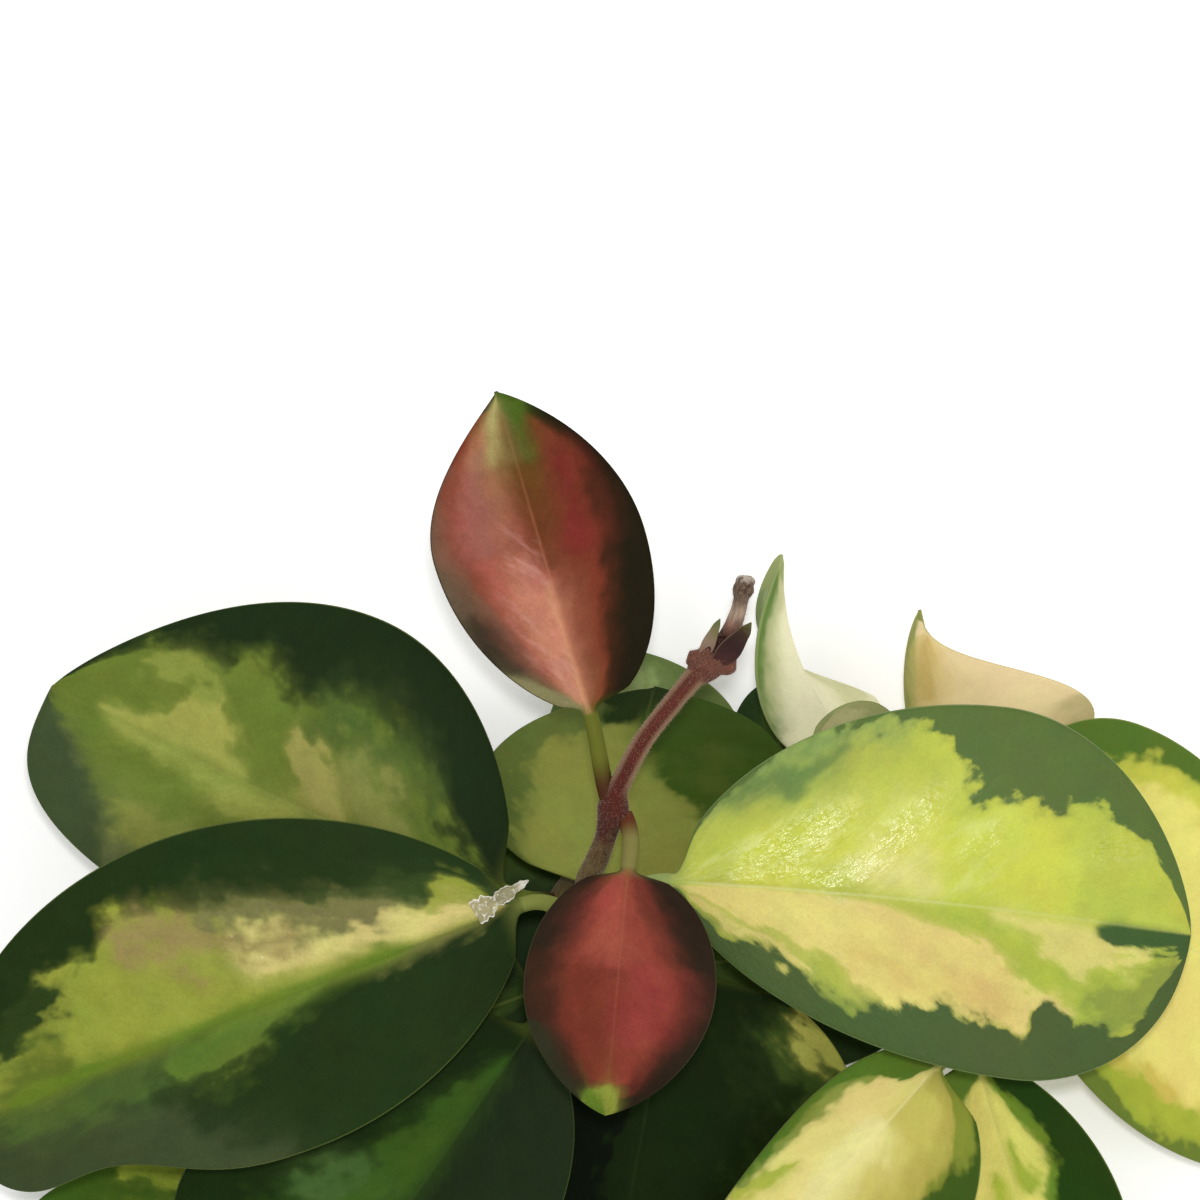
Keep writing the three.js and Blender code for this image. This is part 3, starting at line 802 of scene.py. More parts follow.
def leaf_finish(name, ground, bands, seed=0.0, stalk=tint(108, 118, 50), foot=tint(84, 70, 38),
                rim=tint(104, 118, 56), rim_share=0.5, midrib=tint(120, 132, 66), midrib_share=0.4, tear=0.3,
                teeth=0.15, mottle=0.36, drift=0.07, ripple=0.4, gloss=0.5, sheen=0.03, pale=0.35, specks=0.0,
                shine=(), highlight_streak=tint(140, 150, 84), highlight_streak_share=0.0):
    """A waxy leaf. ground is its main colour, and each band is a colour, its softness and the list of
    (place along from foot 0 to tip 1, its two edges from left edge -1 to right edge 1). tear and
    teeth are how raggedly the bands end, in large and in small. stalk and foot are the colours of
    its stalk, and rim and midrib those of its edge and its midrib, each with its share. The pale
    streaks left of the midrib near the foot have their own colour and share: a painted highlight.
    mottle and drift are how far brightness and hue vary, ripple how uneven the skin is, gloss its
    roughness, sheen how much it mirrors, pale how light the underside is, and specks how strong its
    pale dots are. shine lists the glossy places: along, across and their two half sizes. seed moves
    the noise."""
    material, shader, wire = finish_of(name, Specular_IOR_Level=sheen)
    object_place = wire.node("TexCoord", (), (), 3)
    along, across, lower = wire.node("Attribute", {"attribute_name": "blade"}, (), 1).split()
    from_rib, from_edge, _ = wire.node("Attribute", {"attribute_name": "span"}, (), 1).split()
    size = abs(across)
    slanted = along - VEIN_SLANT * size * (1 - VEIN_CURVE * size)
    drawn = along - MARKING_SLANT * size * (1 - MARKING_CURVE * size)

    def strokes(fine, wide, shift, detail=4.0):
        """Cloudy noise drawn out along the side veins, less than 0 as often as more."""
        spot = vector(drawn * fine + (seed + shift), across * wide, seed - shift)
        return spot.noise(1.0, detail, 0.62) - 0.5

    wander = size.step(*TORN) * tear
    lobes = (object_place.noise(LOBES, 2.5, 0.5) - 0.5) * 0.7
    ragged = [(strokes(8, 3.4, 5.1, 2.5) + strokes(34, 9, 1.3) * teeth + lobes) * wander,
              (strokes(9, 3, 8.3, 2.5) + strokes(30, 8, 2.9) * teeth - lobes) * wander]
    place = place_across(across)
    colour = ground
    for index, (shade, soft, reach) in enumerate(bands):
        low = wire.node("FloatCurve", {"points": edge_points(reach, 1)}, {"Value": along})
        high = wire.node("FloatCurve", {"points": edge_points(reach, 2)}, {"Value": along})
        torn = place + ragged[index % 2]
        depth = torn.maths("MINIMUM", torn - low, high - torn)
        inside = depth.step(-0.8 * soft, 0.8 * soft) * 0.6 + depth.step(-2.6 * soft, soft) * 0.4
        colour = wire.node("Mix", {"data_type": "RGBA"}, {"Factor": inside, 6: colour, 7: shade}, 2)
    cloud = object_place.noise(CLOUDS, 5.0, 0.66) - 0.5
    fine = object_place.noise(FINE_GRAIN, 3.0, 0.7) - 0.5
    broad = strokes(5, 1.6, 3.7)
    value = 1 + (cloud * 1.3 + broad * 0.7 + strokes(38, 8, 6.6) * 0.5 + fine * 1.1) * mottle
    hue = 0.5 + (broad + object_place.noise(HUE_CLOUDS, 3.0) - 0.5) * drift * 0.6
    colour = wire.node("HueSaturation", (), {"Hue": hue, "Value": value, "Color": colour})
    # Painted highlight: pale streaks beside the midrib near the foot stand in for the sheen on the skin.
    if highlight_streak_share:
        beside_rib = (1 - across.step(-0.08, 0.06)) * (1 - size.step(0.35, 0.7))
        lit = beside_rib * (1 - along.step(0.45, 0.75)) * highlight_streak_share
        colour = colour.under(highlight_streak, strokes(20, 4, 4.4, 3.0).step(-0.05, 0.25) * lit)
    on_blade = along.step(*ON_BLADE)
    colour = colour.under(midrib, (1 - from_rib.step(*RIB_LINE)) * on_blade * midrib_share * (1.15 - along))
    colour = colour.under(rim, (1 - from_edge.step(*RIM_LINE)) * on_blade * rim_share)
    if specks:
        dots = wire.node("TexVoronoi", (), {"Vector": object_place, "Scale": SPECK_DOTS})
        colour = colour.under(SPECK_COLOUR, (1 - dots.step(*SPECK_SIZE)) * specks)
    colour = colour.under(UNDERSIDE_COLOUR, lower * pale * on_blade)
    colour = colour.under(stalk, 1 - along.step(*STALK_END))
    colour = colour.under(foot, 1 - along.step(*FOOT_END))
    relief = vector(slanted * 85 + seed, across * 14, seed).noise(1.0, 3.0, 0.6) * ripple
    relief = relief + object_place.noise(SKIN_GRAIN, 3.0, 0.6) * 0.3
    rough = gloss + cloud * 0.16 + lower * 0.2
    if shine:
        wet = 0
        for where, aside, half_along, half_across in shine:
            far = vector((slanted - where) / half_along, (across - aside) / half_across, 0)
            wet = (1 - far.node("VectorMath", {"operation": "LENGTH"}, {0: far}, 1).step(0.4, 1.3)) + wet
        wet = wet * object_place.noise(WET_PATCHES, 2.0).step(0.22, 0.5)
        wet = wet.maths("MINIMUM", wet, 1)
        crinkle = vector(slanted * 60, across * 20, seed).noise(1.0, 2.0, 0.5)
        relief = relief + wet * (crinkle * 0.9 + object_place.noise(DROPLETS, 2.0, 0.5) * 0.55)
        rough = rough - wet * (1 - lower) * (gloss - 0.2)
    bump_sizes = {"Strength": BUMP_STRENGTH, "Distance": BUMP_DISTANCE}
    bump = relief.node("Bump", (), {**bump_sizes, "Height": relief})
    feed(shader, Base_Color=colour, Normal=bump, Roughness=rough)
    return material


def grown_from_stem(piece, finish, node):
    """Puts the finish on a leaf, which takes the place of a plain node of the same form."""
    piece.data.materials.append(finish)
    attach(piece, "root")
    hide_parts(node)


young_upper = leaf(
    "young_upper", YOUNG_NODE, (-14.9, 46.2, 53.5), (-31.3, 102.2, 47), bow=(0, 0, 2.5),
    heel=(-0.4, -0.2, 0.4),
    left=(18.8, 0.55, 0.7, 1.1), right=(18.2, 0.48, 0.48, 0.88), fold=(0.12, 0.12), cup=-0.05, quilt=0.05,
)
young_upper_bands = [
    (tint(92, 78, 60), 0.07, [(0.16, -1, -0.66), (0.3, -1, -0.56), (0.42, -1, -0.58), (0.55, -1, -0.66),
     (0.68, -1, -0.8), (0.8, -1, -0.9)]),
    (tint(56, 48, 34), 0.07, [(0.14, -1, -0.66), (0.22, -1, -0.62), (0.3, -0.96, -0.66),
     (0.36, -0.9, -0.74)]),
    (tint(116, 52, 34), 0.05, [(0, -0.5, 0.4), (0.1, -0.52, 0.42), (0.2, -0.52, 0.4), (0.3, -0.58, 0.44),
     (0.4, -0.66, 0.48), (0.5, -0.72, 0.54), (0.6, -0.8, 0.58), (0.7, -0.88, 0.66), (0.78, -0.94, 0.74),
     (0.86, -0.97, 0.7), (0.92, -1, 0.5)]),
    (tint(160, 86, 68), 0.06, [(0, -0.44, 0), (0.1, -0.44, 0.02), (0.2, -0.44, 0), (0.3, -0.48, 0),
     (0.4, -0.56, -0.02), (0.5, -0.62, -0.06), (0.6, -0.7, -0.1), (0.7, -0.72, -0.2), (0.8, -0.72, -0.28),
     (0.9, -0.66, -0.36)]),
    # Painted highlight: the paler pink patch left of the midrib stands in for the gloss on the young skin.
    (tint(186, 118, 98), 0.08, [(0.04, -0.34, -0.06), (0.14, -0.36, -0.05), (0.22, -0.42, -0.05),
     (0.32, -0.4, -0.06), (0.42, -0.34, -0.08), (0.5, -0.24, -0.12)]),
    (tint(150, 92, 80), 0.08, [(0.54, -0.62, -0.4), (0.64, -0.66, -0.36), (0.76, -0.7, -0.4),
     (0.84, -0.6, -0.5)]),
    (tint(200, 142, 108), 0.03, [(0, -0.18, 0.06), (0.06, -0.12, 0.02), (0.14, -0.08, 0),
     (0.26, -0.06, -0.02), (0.4, -0.05, -0.02)]),
    (tint(98, 54, 26), 0.1, [(0.46, 0, 0.08), (0.56, -0.06, 0.16), (0.66, -0.12, 0.26), (0.76, -0.2, 0.3),
     (0.86, -0.18, 0.3)]),
    (tint(116, 42, 36), 0.08, [(0.48, 0.24, 0.46), (0.62, 0.34, 0.52), (0.72, 0.4, 0.58),
     (0.8, 0.44, 0.6)]),
    (tint(128, 122, 84), 0.06, [(0, -1, -0.3), (0.05, -1, -0.42), (0.1, -1, -0.62), (0.16, -1, -0.86)]),
    (tint(70, 92, 28), 0.12, [(0.78, 0.18, 0.2), (0.84, 0.14, 0.26), (0.89, 0.06, 0.46), (0.93, -0.06, 0.8),
     (0.97, -0.4, 1), (1, -1, 1)]),
    (tint(166, 158, 98), 0.11, [(0.8, -0.32, -0.3), (0.86, -0.4, -0.28), (0.92, -0.56, -0.2),
     (0.97, -0.5, -0.14)]),
]
# Its pale pink streaks beside the midrib are a painted highlight.
young_upper_finish = leaf_finish(
    "young_upper", tint(31, 26, 12), young_upper_bands, rim=tint(30, 26, 14), rim_share=0.8,
    midrib=tint(184, 118, 86), tear=0.1, midrib_share=0.36, highlight_streak=tint(214, 158, 146), highlight_streak_share=0.4,
    gloss=0.52, seed=1.7, ripple=0.25, drift=0.03, mottle=0.46, stalk=tint(100, 104, 38),
    foot=tint(74, 44, 26),
)
grown_from_stem(young_upper, young_upper_finish, "leaf_young_upper")

young_lower = leaf(
    "young_lower", YOUNG_NODE, (-8.2, 18.9, 56), (-12.2, -23.8, 57), bow=(0, 0, 2), heel=(1.5, 0.1, -0.4),
    left=(17.2, 0.47, 0.5, 0.75), right=(16.3, 0.47, 0.5, 0.75), fold=(0.1, 0.1), cup=-0.08, quilt=0.05,
)
young_lower_bands = [
    (tint(84, 40, 30), 0.045, [(0, -0.46, 0.5), (0.1, -0.48, 0.5), (0.2, -0.52, 0.48), (0.3, -0.56, 0.5),
     (0.4, -0.62, 0.54), (0.5, -0.7, 0.58), (0.6, -0.66, 0.6), (0.7, -0.62, 0.58), (0.8, -0.58, 0.48),
     (0.9, -0.6, 0.42)]),
    (tint(128, 56, 44), 0.055, [(0, -0.16, 0.36), (0.1, -0.14, 0.42), (0.2, -0.18, 0.42),
     (0.28, -0.34, 0.42), (0.36, -0.46, 0.44), (0.45, -0.56, 0.48), (0.55, -0.6, 0.46), (0.65, -0.54, 0.4),
     (0.75, -0.42, 0.32), (0.85, -0.36, 0.2)]),
    (tint(110, 50, 34), 0.12, [(0.36, -0.02, 0.4), (0.48, 0, 0.52), (0.6, 0, 0.5), (0.72, 0, 0.42),
     (0.84, 0.02, 0.3)]),
    # Painted highlight: the paler crimson patch near the foot stands in for the gloss on the young skin.
    (tint(150, 72, 58), 0.1, [(0.02, 0, 0.3), (0.1, -0.02, 0.36), (0.2, -0.06, 0.34), (0.3, -0.1, 0.32),
     (0.38, -0.12, 0.24)]),
    (tint(140, 60, 52), 0.1, [(0.4, -0.46, -0.16), (0.5, -0.54, -0.16), (0.6, -0.5, -0.14),
     (0.7, -0.36, -0.1)]),
    (tint(130, 138, 54), 0.07, [(0.88, -0.1, 0.1), (0.91, -0.26, 0.45), (0.94, -0.4, 0.8), (0.97, -0.6, 1),
     (1, -1, 1)]),
    (tint(92, 116, 36), 0.08, [(0.91, 0.3, 0.6), (0.95, 0.2, 0.9), (1, 0, 1)]),
    (tint(46, 46, 30), 0.06, [(0.66, 0.84, 1), (0.74, 0.76, 1), (0.86, 0.72, 1), (0.92, 0.8, 1)]),
]
young_lower_finish = leaf_finish(
    "young_lower", tint(41, 31, 21), young_lower_bands, rim=tint(66, 62, 44), midrib=tint(150, 88, 64),
    tear=0.12, midrib_share=0.34, gloss=0.56, seed=4.2, ripple=0.25, specks=0.5, drift=0.03, mottle=0.46,
    stalk=tint(124, 118, 66), foot=tint(92, 48, 30),
)
grown_from_stem(young_lower, young_lower_finish, "leaf_young_lower")

# The largest pair of leaves, thick and waxy. The right one is cream and lime with jagged green
# margins and shines, and the left one is mostly dark green with a lime and tan band above its midrib.
large_left = leaf(
    "large_left", LARGE_NODE, (-26.8, 12.4, 44), (-126, -28, 22), bow=(0, 0.6, 5),
    left=(26.5, 0.45, 0.66, 0.35), right=(34, 0.54, 0.73, 0.55), fold=(0.08, 0.08), cup=-0.06,
    curl=((0.78, 0.14, 0.3, 0.35), None),
)
large_left_bands = [
    # Painted sheen: the greyish band along the left margin towards the tip stands in for light mirrored off
    # the dark skin.
    (tint(60, 72, 42), 0.08, [(0.5, -1, -0.97), (0.6, -1, -0.74), (0.7, -1, -0.46), (0.8, -1, -0.28),
     (0.9, -1, -0.2), (1, -1, 0)]),
    (tint(74, 94, 42), 0.05, [(0.6, -0.16, 0), (0.68, -0.3, 0), (0.76, -0.42, 0), (0.88, -0.4, 0),
     (0.95, -0.2, 0)]),
    (tint(88, 112, 42), 0.025, [(0.36, -0.03, 0), (0.42, -0.1, 0), (0.48, -0.2, 0), (0.53, -0.33, 0),
     (0.58, -0.36, -0.06), (0.63, -0.26, -0.1)]),
    (tint(54, 72, 32), 0.04, [(0.04, 0.3, 0.62), (0.12, 0.2, 0.58), (0.22, 0.2, 0.52), (0.32, 0.3, 0.5),
     (0.42, 0.36, 0.52), (0.5, 0.44, 0.6)]),
    (tint(142, 150, 58), 0.022, [(0.05, 0.04, 0.5), (0.09, 0.02, 0.62), (0.13, 0.02, 0.5),
     (0.16, 0.02, 0.3), (0.22, 0.02, 0.3), (0.3, 0.02, 0.36), (0.38, 0.02, 0.44), (0.46, 0.02, 0.48),
     (0.52, 0.02, 0.58), (0.57, 0.02, 0.68), (0.62, 0.02, 0.73), (0.66, 0.02, 0.67), (0.69, 0.02, 0.5),
     (0.73, 0.02, 0.53), (0.77, 0.02, 0.66), (0.8, 0.02, 0.54), (0.82, 0.02, 0.4), (0.86, 0.02, 0.36),
     (0.9, 0.03, 0.32), (0.93, 0.05, 0.2), (0.95, 0.06, 0.1)]),
    (tint(92, 110, 40), 0.06, [(0.8, 0.02, 0.3), (0.86, 0.03, 0.34), (0.92, 0.05, 0.2)]),
    (tint(208, 196, 120), 0.035, [(0.04, 0.1, 0.3), (0.1, 0.08, 0.3), (0.16, 0.07, 0.27),
     (0.23, 0.09, 0.28), (0.3, 0.13, 0.31), (0.37, 0.16, 0.34), (0.42, 0.2, 0.36), (0.46, 0.26, 0.37)]),
    (tint(148, 134, 80), 0.04, [(0.36, 0.3, 0.38), (0.42, 0.33, 0.43), (0.48, 0.35, 0.48),
     (0.54, 0.38, 0.58), (0.6, 0.44, 0.64), (0.64, 0.5, 0.62)]),
    (tint(116, 114, 70), 0.03, [(0.2, 0.26, 0.34), (0.28, 0.29, 0.4), (0.36, 0.33, 0.47), (0.44, 0.4, 0.5),
     (0.5, 0.47, 0.54)]),
    (tint(98, 122, 38), 0.02, [(0.2, 0, 0.02), (0.35, 0, 0.04), (0.5, 0, 0.04), (0.65, 0, 0.04),
     (0.8, 0, 0.1), (0.9, 0, 0.06)]),
    (tint(44, 62, 26), 0.02, [(0.76, 0.46, 0.52), (0.8, 0.44, 0.64), (0.84, 0.42, 0.62), (0.9, 0.36, 0.6)]),
]
large_left_finish = leaf_finish(
    "large_left", tint(33, 51, 20), large_left_bands, seed=2.4, midrib=tint(72, 94, 34), midrib_share=0.3,
    tear=0.2, specks=0.4, stalk=tint(136, 144, 72), foot=tint(116, 104, 60),
)
grown_from_stem(large_left, large_left_finish, "leaf_large_left")

large_right = leaf(
    "large_right", LARGE_NODE, (-0.6, 16.6, 46), (90.6, 7, 38), bow=(0, 1.2, 4),
    left=(35.3, 0.6, 0.62, 0.7), right=(29.4, 0.7, 0.67, 0.42), fold=(0.05, 0.05), cup=-0.08,
)
large_right_bands = [
    (tint(192, 198, 66), 0.07, [(0.14, -0.4, -0.02), (0.3, -0.5, -0.02), (0.5, -0.5, -0.02),
     (0.68, -0.55, -0.02), (0.76, -0.4, -0.1)]),
    (tint(216, 212, 122), 0.07, [(0.36, -0.2, -0.02), (0.43, -0.26, -0.02), (0.5, -0.14, -0.02)]),
    (tint(134, 156, 76), 0.06, [(0.06, -1, -0.9), (0.16, -1, -0.82), (0.26, -1, -0.8), (0.34, -1, -0.88),
     (0.42, -1, -0.9)]),
    (tint(98, 124, 52), 0.05, [(0.1, -0.94, -0.84), (0.16, -0.9, -0.72), (0.22, -0.86, -0.68),
     (0.27, -0.82, -0.7), (0.31, -0.8, -0.74)]),
    (tint(78, 102, 36), 0.012, [(0, -1, -0.93), (0.1, -1, -0.94), (0.2, -1, -0.96), (0.34, -1, -0.95),
     (0.42, -1, -0.93), (0.47, -1, -0.9), (0.5, -1, -0.82), (0.53, -1, -0.66), (0.56, -1, -0.6),
     (0.6, -1, -0.54), (0.64, -1, -0.6), (0.7, -1, -0.54), (0.74, -1, -0.6), (0.79, -1, -0.7),
     (0.85, -1, -0.7), (0.9, -1, -0.74), (0.96, -1, -0.6), (1, -1, -0.4)]),
    (tint(168, 176, 64), 0.03, [(0, 0.25, 0.7), (0.1, 0.36, 0.72), (0.22, 0.42, 0.8), (0.34, 0.5, 0.86),
     (0.44, 0.62, 0.8)]),
    (tint(134, 148, 54), 0.04, [(0.06, 0.54, 0.68), (0.16, 0.58, 0.7), (0.28, 0.68, 0.84), (0.4, 0.7, 0.86),
     (0.48, 0.66, 0.76)]),
    (tint(162, 176, 54), 0.03, [(0.3, 0, 0.03), (0.45, 0, 0.12), (0.55, 0.02, 0.22), (0.65, 0.08, 0.36),
     (0.75, 0.16, 0.52), (0.85, 0.28, 0.66), (0.93, 0.24, 0.7)]),
    (tint(132, 146, 50), 0.03, [(0.82, 0.5, 0.62), (0.87, 0.46, 0.74), (0.92, 0.4, 0.8), (0.97, 0.3, 0.8)]),
    (tint(214, 200, 112), 0.018, [(0.02, 0.12, 0.24), (0.08, 0.03, 0.3), (0.15, 0.02, 0.36),
     (0.2, 0.02, 0.4), (0.26, 0.02, 0.43), (0.31, 0.03, 0.48), (0.36, 0.04, 0.57), (0.41, 0.06, 0.64),
     (0.44, 0.09, 0.68), (0.5, 0.14, 0.65), (0.55, 0.19, 0.62), (0.6, 0.25, 0.62), (0.65, 0.33, 0.67),
     (0.7, 0.42, 0.72), (0.72, 0.46, 0.64), (0.75, 0.5, 0.58), (0.79, 0.56, 0.6)]),
    (tint(206, 184, 102), 0.05, [(0.36, 0.36, 0.5), (0.46, 0.44, 0.62), (0.56, 0.42, 0.6),
     (0.66, 0.48, 0.64)]),
    (tint(202, 192, 104), 0.02, [(0.04, 0.36, 0.44), (0.12, 0.42, 0.52), (0.2, 0.52, 0.6),
     (0.27, 0.6, 0.68)]),
    (tint(204, 196, 106), 0.018, [(0.62, 0.02, 0.05), (0.68, 0.04, 0.1), (0.74, 0.04, 0.2),
     (0.79, 0.04, 0.3), (0.83, 0.07, 0.31), (0.87, 0.15, 0.3), (0.92, 0.2, 0.29)]),
    (tint(62, 84, 26), 0.014, [(0, 0.5, 1), (0.05, 0.62, 1), (0.1, 0.68, 1), (0.15, 0.63, 1),
     (0.2, 0.64, 1), (0.25, 0.71, 1), (0.3, 0.77, 1), (0.38, 0.79, 1), (0.43, 0.74, 1), (0.47, 0.68, 1),
     (0.55, 0.64, 1), (0.62, 0.66, 1), (0.67, 0.74, 1), (0.71, 0.73, 1), (0.73, 0.6, 1), (0.76, 0.57, 1),
     (0.81, 0.67, 1), (0.87, 0.78, 1), (0.92, 0.78, 1), (0.96, 0.55, 1), (1, 0.35, 1)]),
    (tint(50, 80, 20), 0.015, [(0.82, 0.03, 0.05), (0.85, 0, 0.12), (0.89, 0, 0.16), (0.93, 0, 0.2),
     (0.97, 0, 0.26), (1, 0, 1)]),
]
# Its pale streaks beside the midrib are a painted highlight.
large_right_finish = leaf_finish(
    "large_right", tint(176, 185, 64), large_right_bands, seed=6.1, gloss=0.6, sheen=0.35, ripple=0.8,
    tear=0.16, teeth=0.45, stalk=tint(150, 168, 92), foot=tint(120, 120, 66), highlight_streak=tint(226, 230, 160),
    highlight_streak_share=0.4, midrib=tint(204, 206, 138), midrib_share=0.5, rim=tint(120, 146, 84), mottle=0.3,
    shine=[
        (0.11, -0.3, 0.12, 0.32),
        (0.3, -0.28, 0.07, 0.4),
        (0.47, -0.34, 0.05, 0.16),
        (0.66, -0.5, 0.05, 0.24),
        (0.2, -0.08, 0.14, 0.06),
    ],
)
grown_from_stem(large_right, large_right_finish, "leaf_large_right")

# The leaves behind the large left one and behind the young shoot. They grow from the left shoot, and
# are dark green with soft olive and lime patches.
upper_left = leaf(
    "upper_left", LEFT_NODE, (-29.7, 14.5, 34), (-109.9, 50.6, 23), bow=(0, -1.5, 5),
    left=(27, 0.5, 0.5, 0.27), right=(36, 0.45, 0.67, 0.82), fold=(0.06, 0.06), cup=-0.1,
)
upper_left_bands = [
    (tint(100, 116, 44), 0.03, [(0.02, -0.2, 0.06), (0.1, -0.3, 0.12), (0.16, -0.4, 0.22),
     (0.22, -0.5, 0.36), (0.28, -0.6, 0.48), (0.34, -0.7, 0.53), (0.4, -0.8, 0.55), (0.45, -0.8, 0.5),
     (0.5, -0.8, 0.46), (0.54, -0.8, 0.5), (0.6, -0.8, 0.62), (0.66, -0.8, 0.67), (0.69, -0.8, 0.6),
     (0.73, -0.8, 0.59), (0.79, -0.8, 0.68), (0.86, -0.8, 0.78), (0.92, -0.8, 0.8), (1, -0.8, 0.7)]),
    (tint(76, 94, 40), 0.05, [(0.2, 0.3, 0.4), (0.3, 0.34, 0.5), (0.4, 0.36, 0.52), (0.5, 0.36, 0.46)]),
    (tint(88, 98, 62), 0.06, [(0.66, -1, -0.74), (0.76, -1, -0.64), (0.86, -1, -0.5), (0.94, -1, -0.4)]),
    (tint(62, 76, 46), 0.05, [(0.78, -1, -0.74), (0.86, -1, -0.56), (0.93, -1, -0.32), (1, -1, -0.1)]),
    (tint(124, 128, 64), 0.03, [(0.22, 0.05, 0.1), (0.27, 0.04, 0.22), (0.31, 0.05, 0.32),
     (0.36, 0.08, 0.34), (0.4, 0.16, 0.34)]),
    (tint(148, 147, 76), 0.022, [(0.36, 0.01, 0.05), (0.41, 0.01, 0.2), (0.45, 0.03, 0.31),
     (0.49, 0.12, 0.33), (0.52, 0.24, 0.33)]),
    (tint(152, 154, 74), 0.022, [(0.58, 0.02, 0.05), (0.63, 0.02, 0.12), (0.67, 0.03, 0.3),
     (0.7, 0.02, 0.42), (0.74, 0.02, 0.3), (0.79, 0.02, 0.16), (0.84, 0.02, 0.1), (0.89, 0.04, 0.08)]),
    (tint(130, 140, 62), 0.025, [(0.69, 0.36, 0.44), (0.74, 0.42, 0.55), (0.8, 0.5, 0.66),
     (0.85, 0.58, 0.7)]),
    (tint(140, 148, 68), 0.03, [(0.45, -0.1, -0.02), (0.54, -0.2, -0.03), (0.62, -0.16, -0.03),
     (0.7, -0.07, -0.01), (0.8, -0.07, 0), (0.86, -0.05, 0)]),
    (tint(126, 132, 62), 0.05, [(0.6, -0.62, -0.42), (0.7, -0.7, -0.46), (0.78, -0.64, -0.5)]),
]
upper_left_finish = leaf_finish(
    "upper_left", tint(29, 44, 20), upper_left_bands, seed=3.3, tear=0.2, midrib=tint(136, 142, 72),
    midrib_share=0.4,
)
grown_from_stem(upper_left, upper_left_finish, "leaf_upper_left")

middle_back = leaf(
    "middle_back", LEFT_NODE, (-13.1, 14.5, 32), (-3.5, 50, 7), bow=(0, 0, 5),
    left=(25.5, 0.45, 0.38, 0.9), right=(29, 0.6, 0.5, 0.28), fold=(-0.12, 0.03),
)
middle_back_bands = [
    (tint(96, 110, 52), 0.03, [(0.05, -1, -0.9), (0.2, -1, -0.78), (0.35, -1, -0.7), (0.5, -1, -0.72),
     (0.66, -1, -0.66), (0.76, -1, -0.5), (0.84, -1, -0.3)]),
    (tint(60, 84, 26), 0.04, [(0.44, 0.5, 1), (0.52, 0.4, 1), (0.58, 0.2, 1), (0.65, 0.08, 1), (0.74, 0, 1),
     (0.84, -0.1, 1), (1, -0.3, 1)]),
    (tint(74, 90, 32), 0.06, [(0.58, 0.42, 0.5), (0.68, 0.36, 0.6), (0.8, 0.4, 0.56)]),
    (tint(34, 50, 16), 0.06, [(0.8, -0.5, -0.2), (0.86, -0.6, -0.05), (0.93, -1, 0.1), (1, -1, 0.3)]),
]
middle_back_finish = leaf_finish(
    "middle_back", tint(132, 138, 64), middle_back_bands, seed=5.5, midrib=tint(138, 142, 78), tear=0.2,
    mottle=0.3,
)
grown_from_stem(middle_back, middle_back_finish, "leaf_middle_back")

back_top = leaf(
    "back_top", BACK_NODE, (-9, 27, 9.5), (-8, 56.8, 1.8), left=(14, 0.5, 0.5, 0.6),
    right=(21, 0.45, 0.5, 0.62), cup=-0.03,
)
back_top_bands = [
    (tint(146, 162, 104), 0.1, [(0.5, -0.4, -0.2), (0.7, -0.5, 0.2), (0.86, -0.4, 0.3), (0.96, -0.2, 0.1)]),
]
back_top_finish = leaf_finish("back_top", tint(104, 122, 68), back_top_bands, seed=7.7)
grown_from_stem(back_top, back_top_finish, "leaf_back_top")

# The four leaves at the end of the right shoot. Two of them have curled over, so that their pale
# cream undersides show.
curled_left = leaf(
    "curled_left", END_BUD, (32.6, 38, 20), (19, 73.8, 27), bow=(-4.5, 0, 0),
    face=((-0.2, 0, -1), (-1, -0.3, -0.6)), left=(12.3, 0.12, 0.5, 0.6), right=(9.5, 0.3, 0.5, 1.4),
    fold=(0.1, 0.1), cup=0.1, curl=((0.6, 0.35, 0.58, 1), None), wave=0.1, quilt=0.04,
)
curled_left_bands = [
    (tint(214, 212, 164), 0.12, [(0.15, -0.95, -0.5), (0.3, -0.95, -0.7), (0.5, -1, -0.75),
     (0.66, -1, -0.6), (0.74, -1, -0.2), (0.82, -1, 0.5), (0.9, -1, 1), (1, -1, 1)]),
    (tint(206, 206, 156), 0.12, [(0.3, 0.9, 1), (0.4, 0.6, 1), (0.5, 0.5, 1), (0.6, 0.44, 1), (0.7, 0.3, 1),
     (0.8, 0, 1)]),
    (tint(100, 128, 62), 0.09, [(0.25, 0.97, 1), (0.35, 0.9, 1), (0.45, 0.84, 1), (0.55, 0.8, 1),
     (0.65, 0.76, 1), (0.72, 0.68, 1), (0.79, 0.6, 1), (0.88, 0.5, 1), (0.96, 0.6, 1)]),
    (tint(132, 150, 98), 0.1, [(0.46, -1, -0.98), (0.57, -1, -0.9), (0.64, -1, -0.76), (0.7, -1, -0.64),
     (0.77, -1, -0.6), (0.86, -1, -0.5)]),
    (tint(160, 172, 108), 0.12, [(0.8, -1, -0.8), (0.86, -1, -0.1), (0.92, -1, 0.6), (1, -1, 1)]),
]
curled_left_finish = leaf_finish(
    "curled_left", tint(248, 243, 206), curled_left_bands, seed=8.2, pale=0.05, mottle=0.14, drift=0.03,
    tear=0.16, midrib=tint(226, 222, 190), rim=tint(170, 178, 124),
)
grown_from_stem(curled_left, curled_left_finish, "leaf_curled_left")

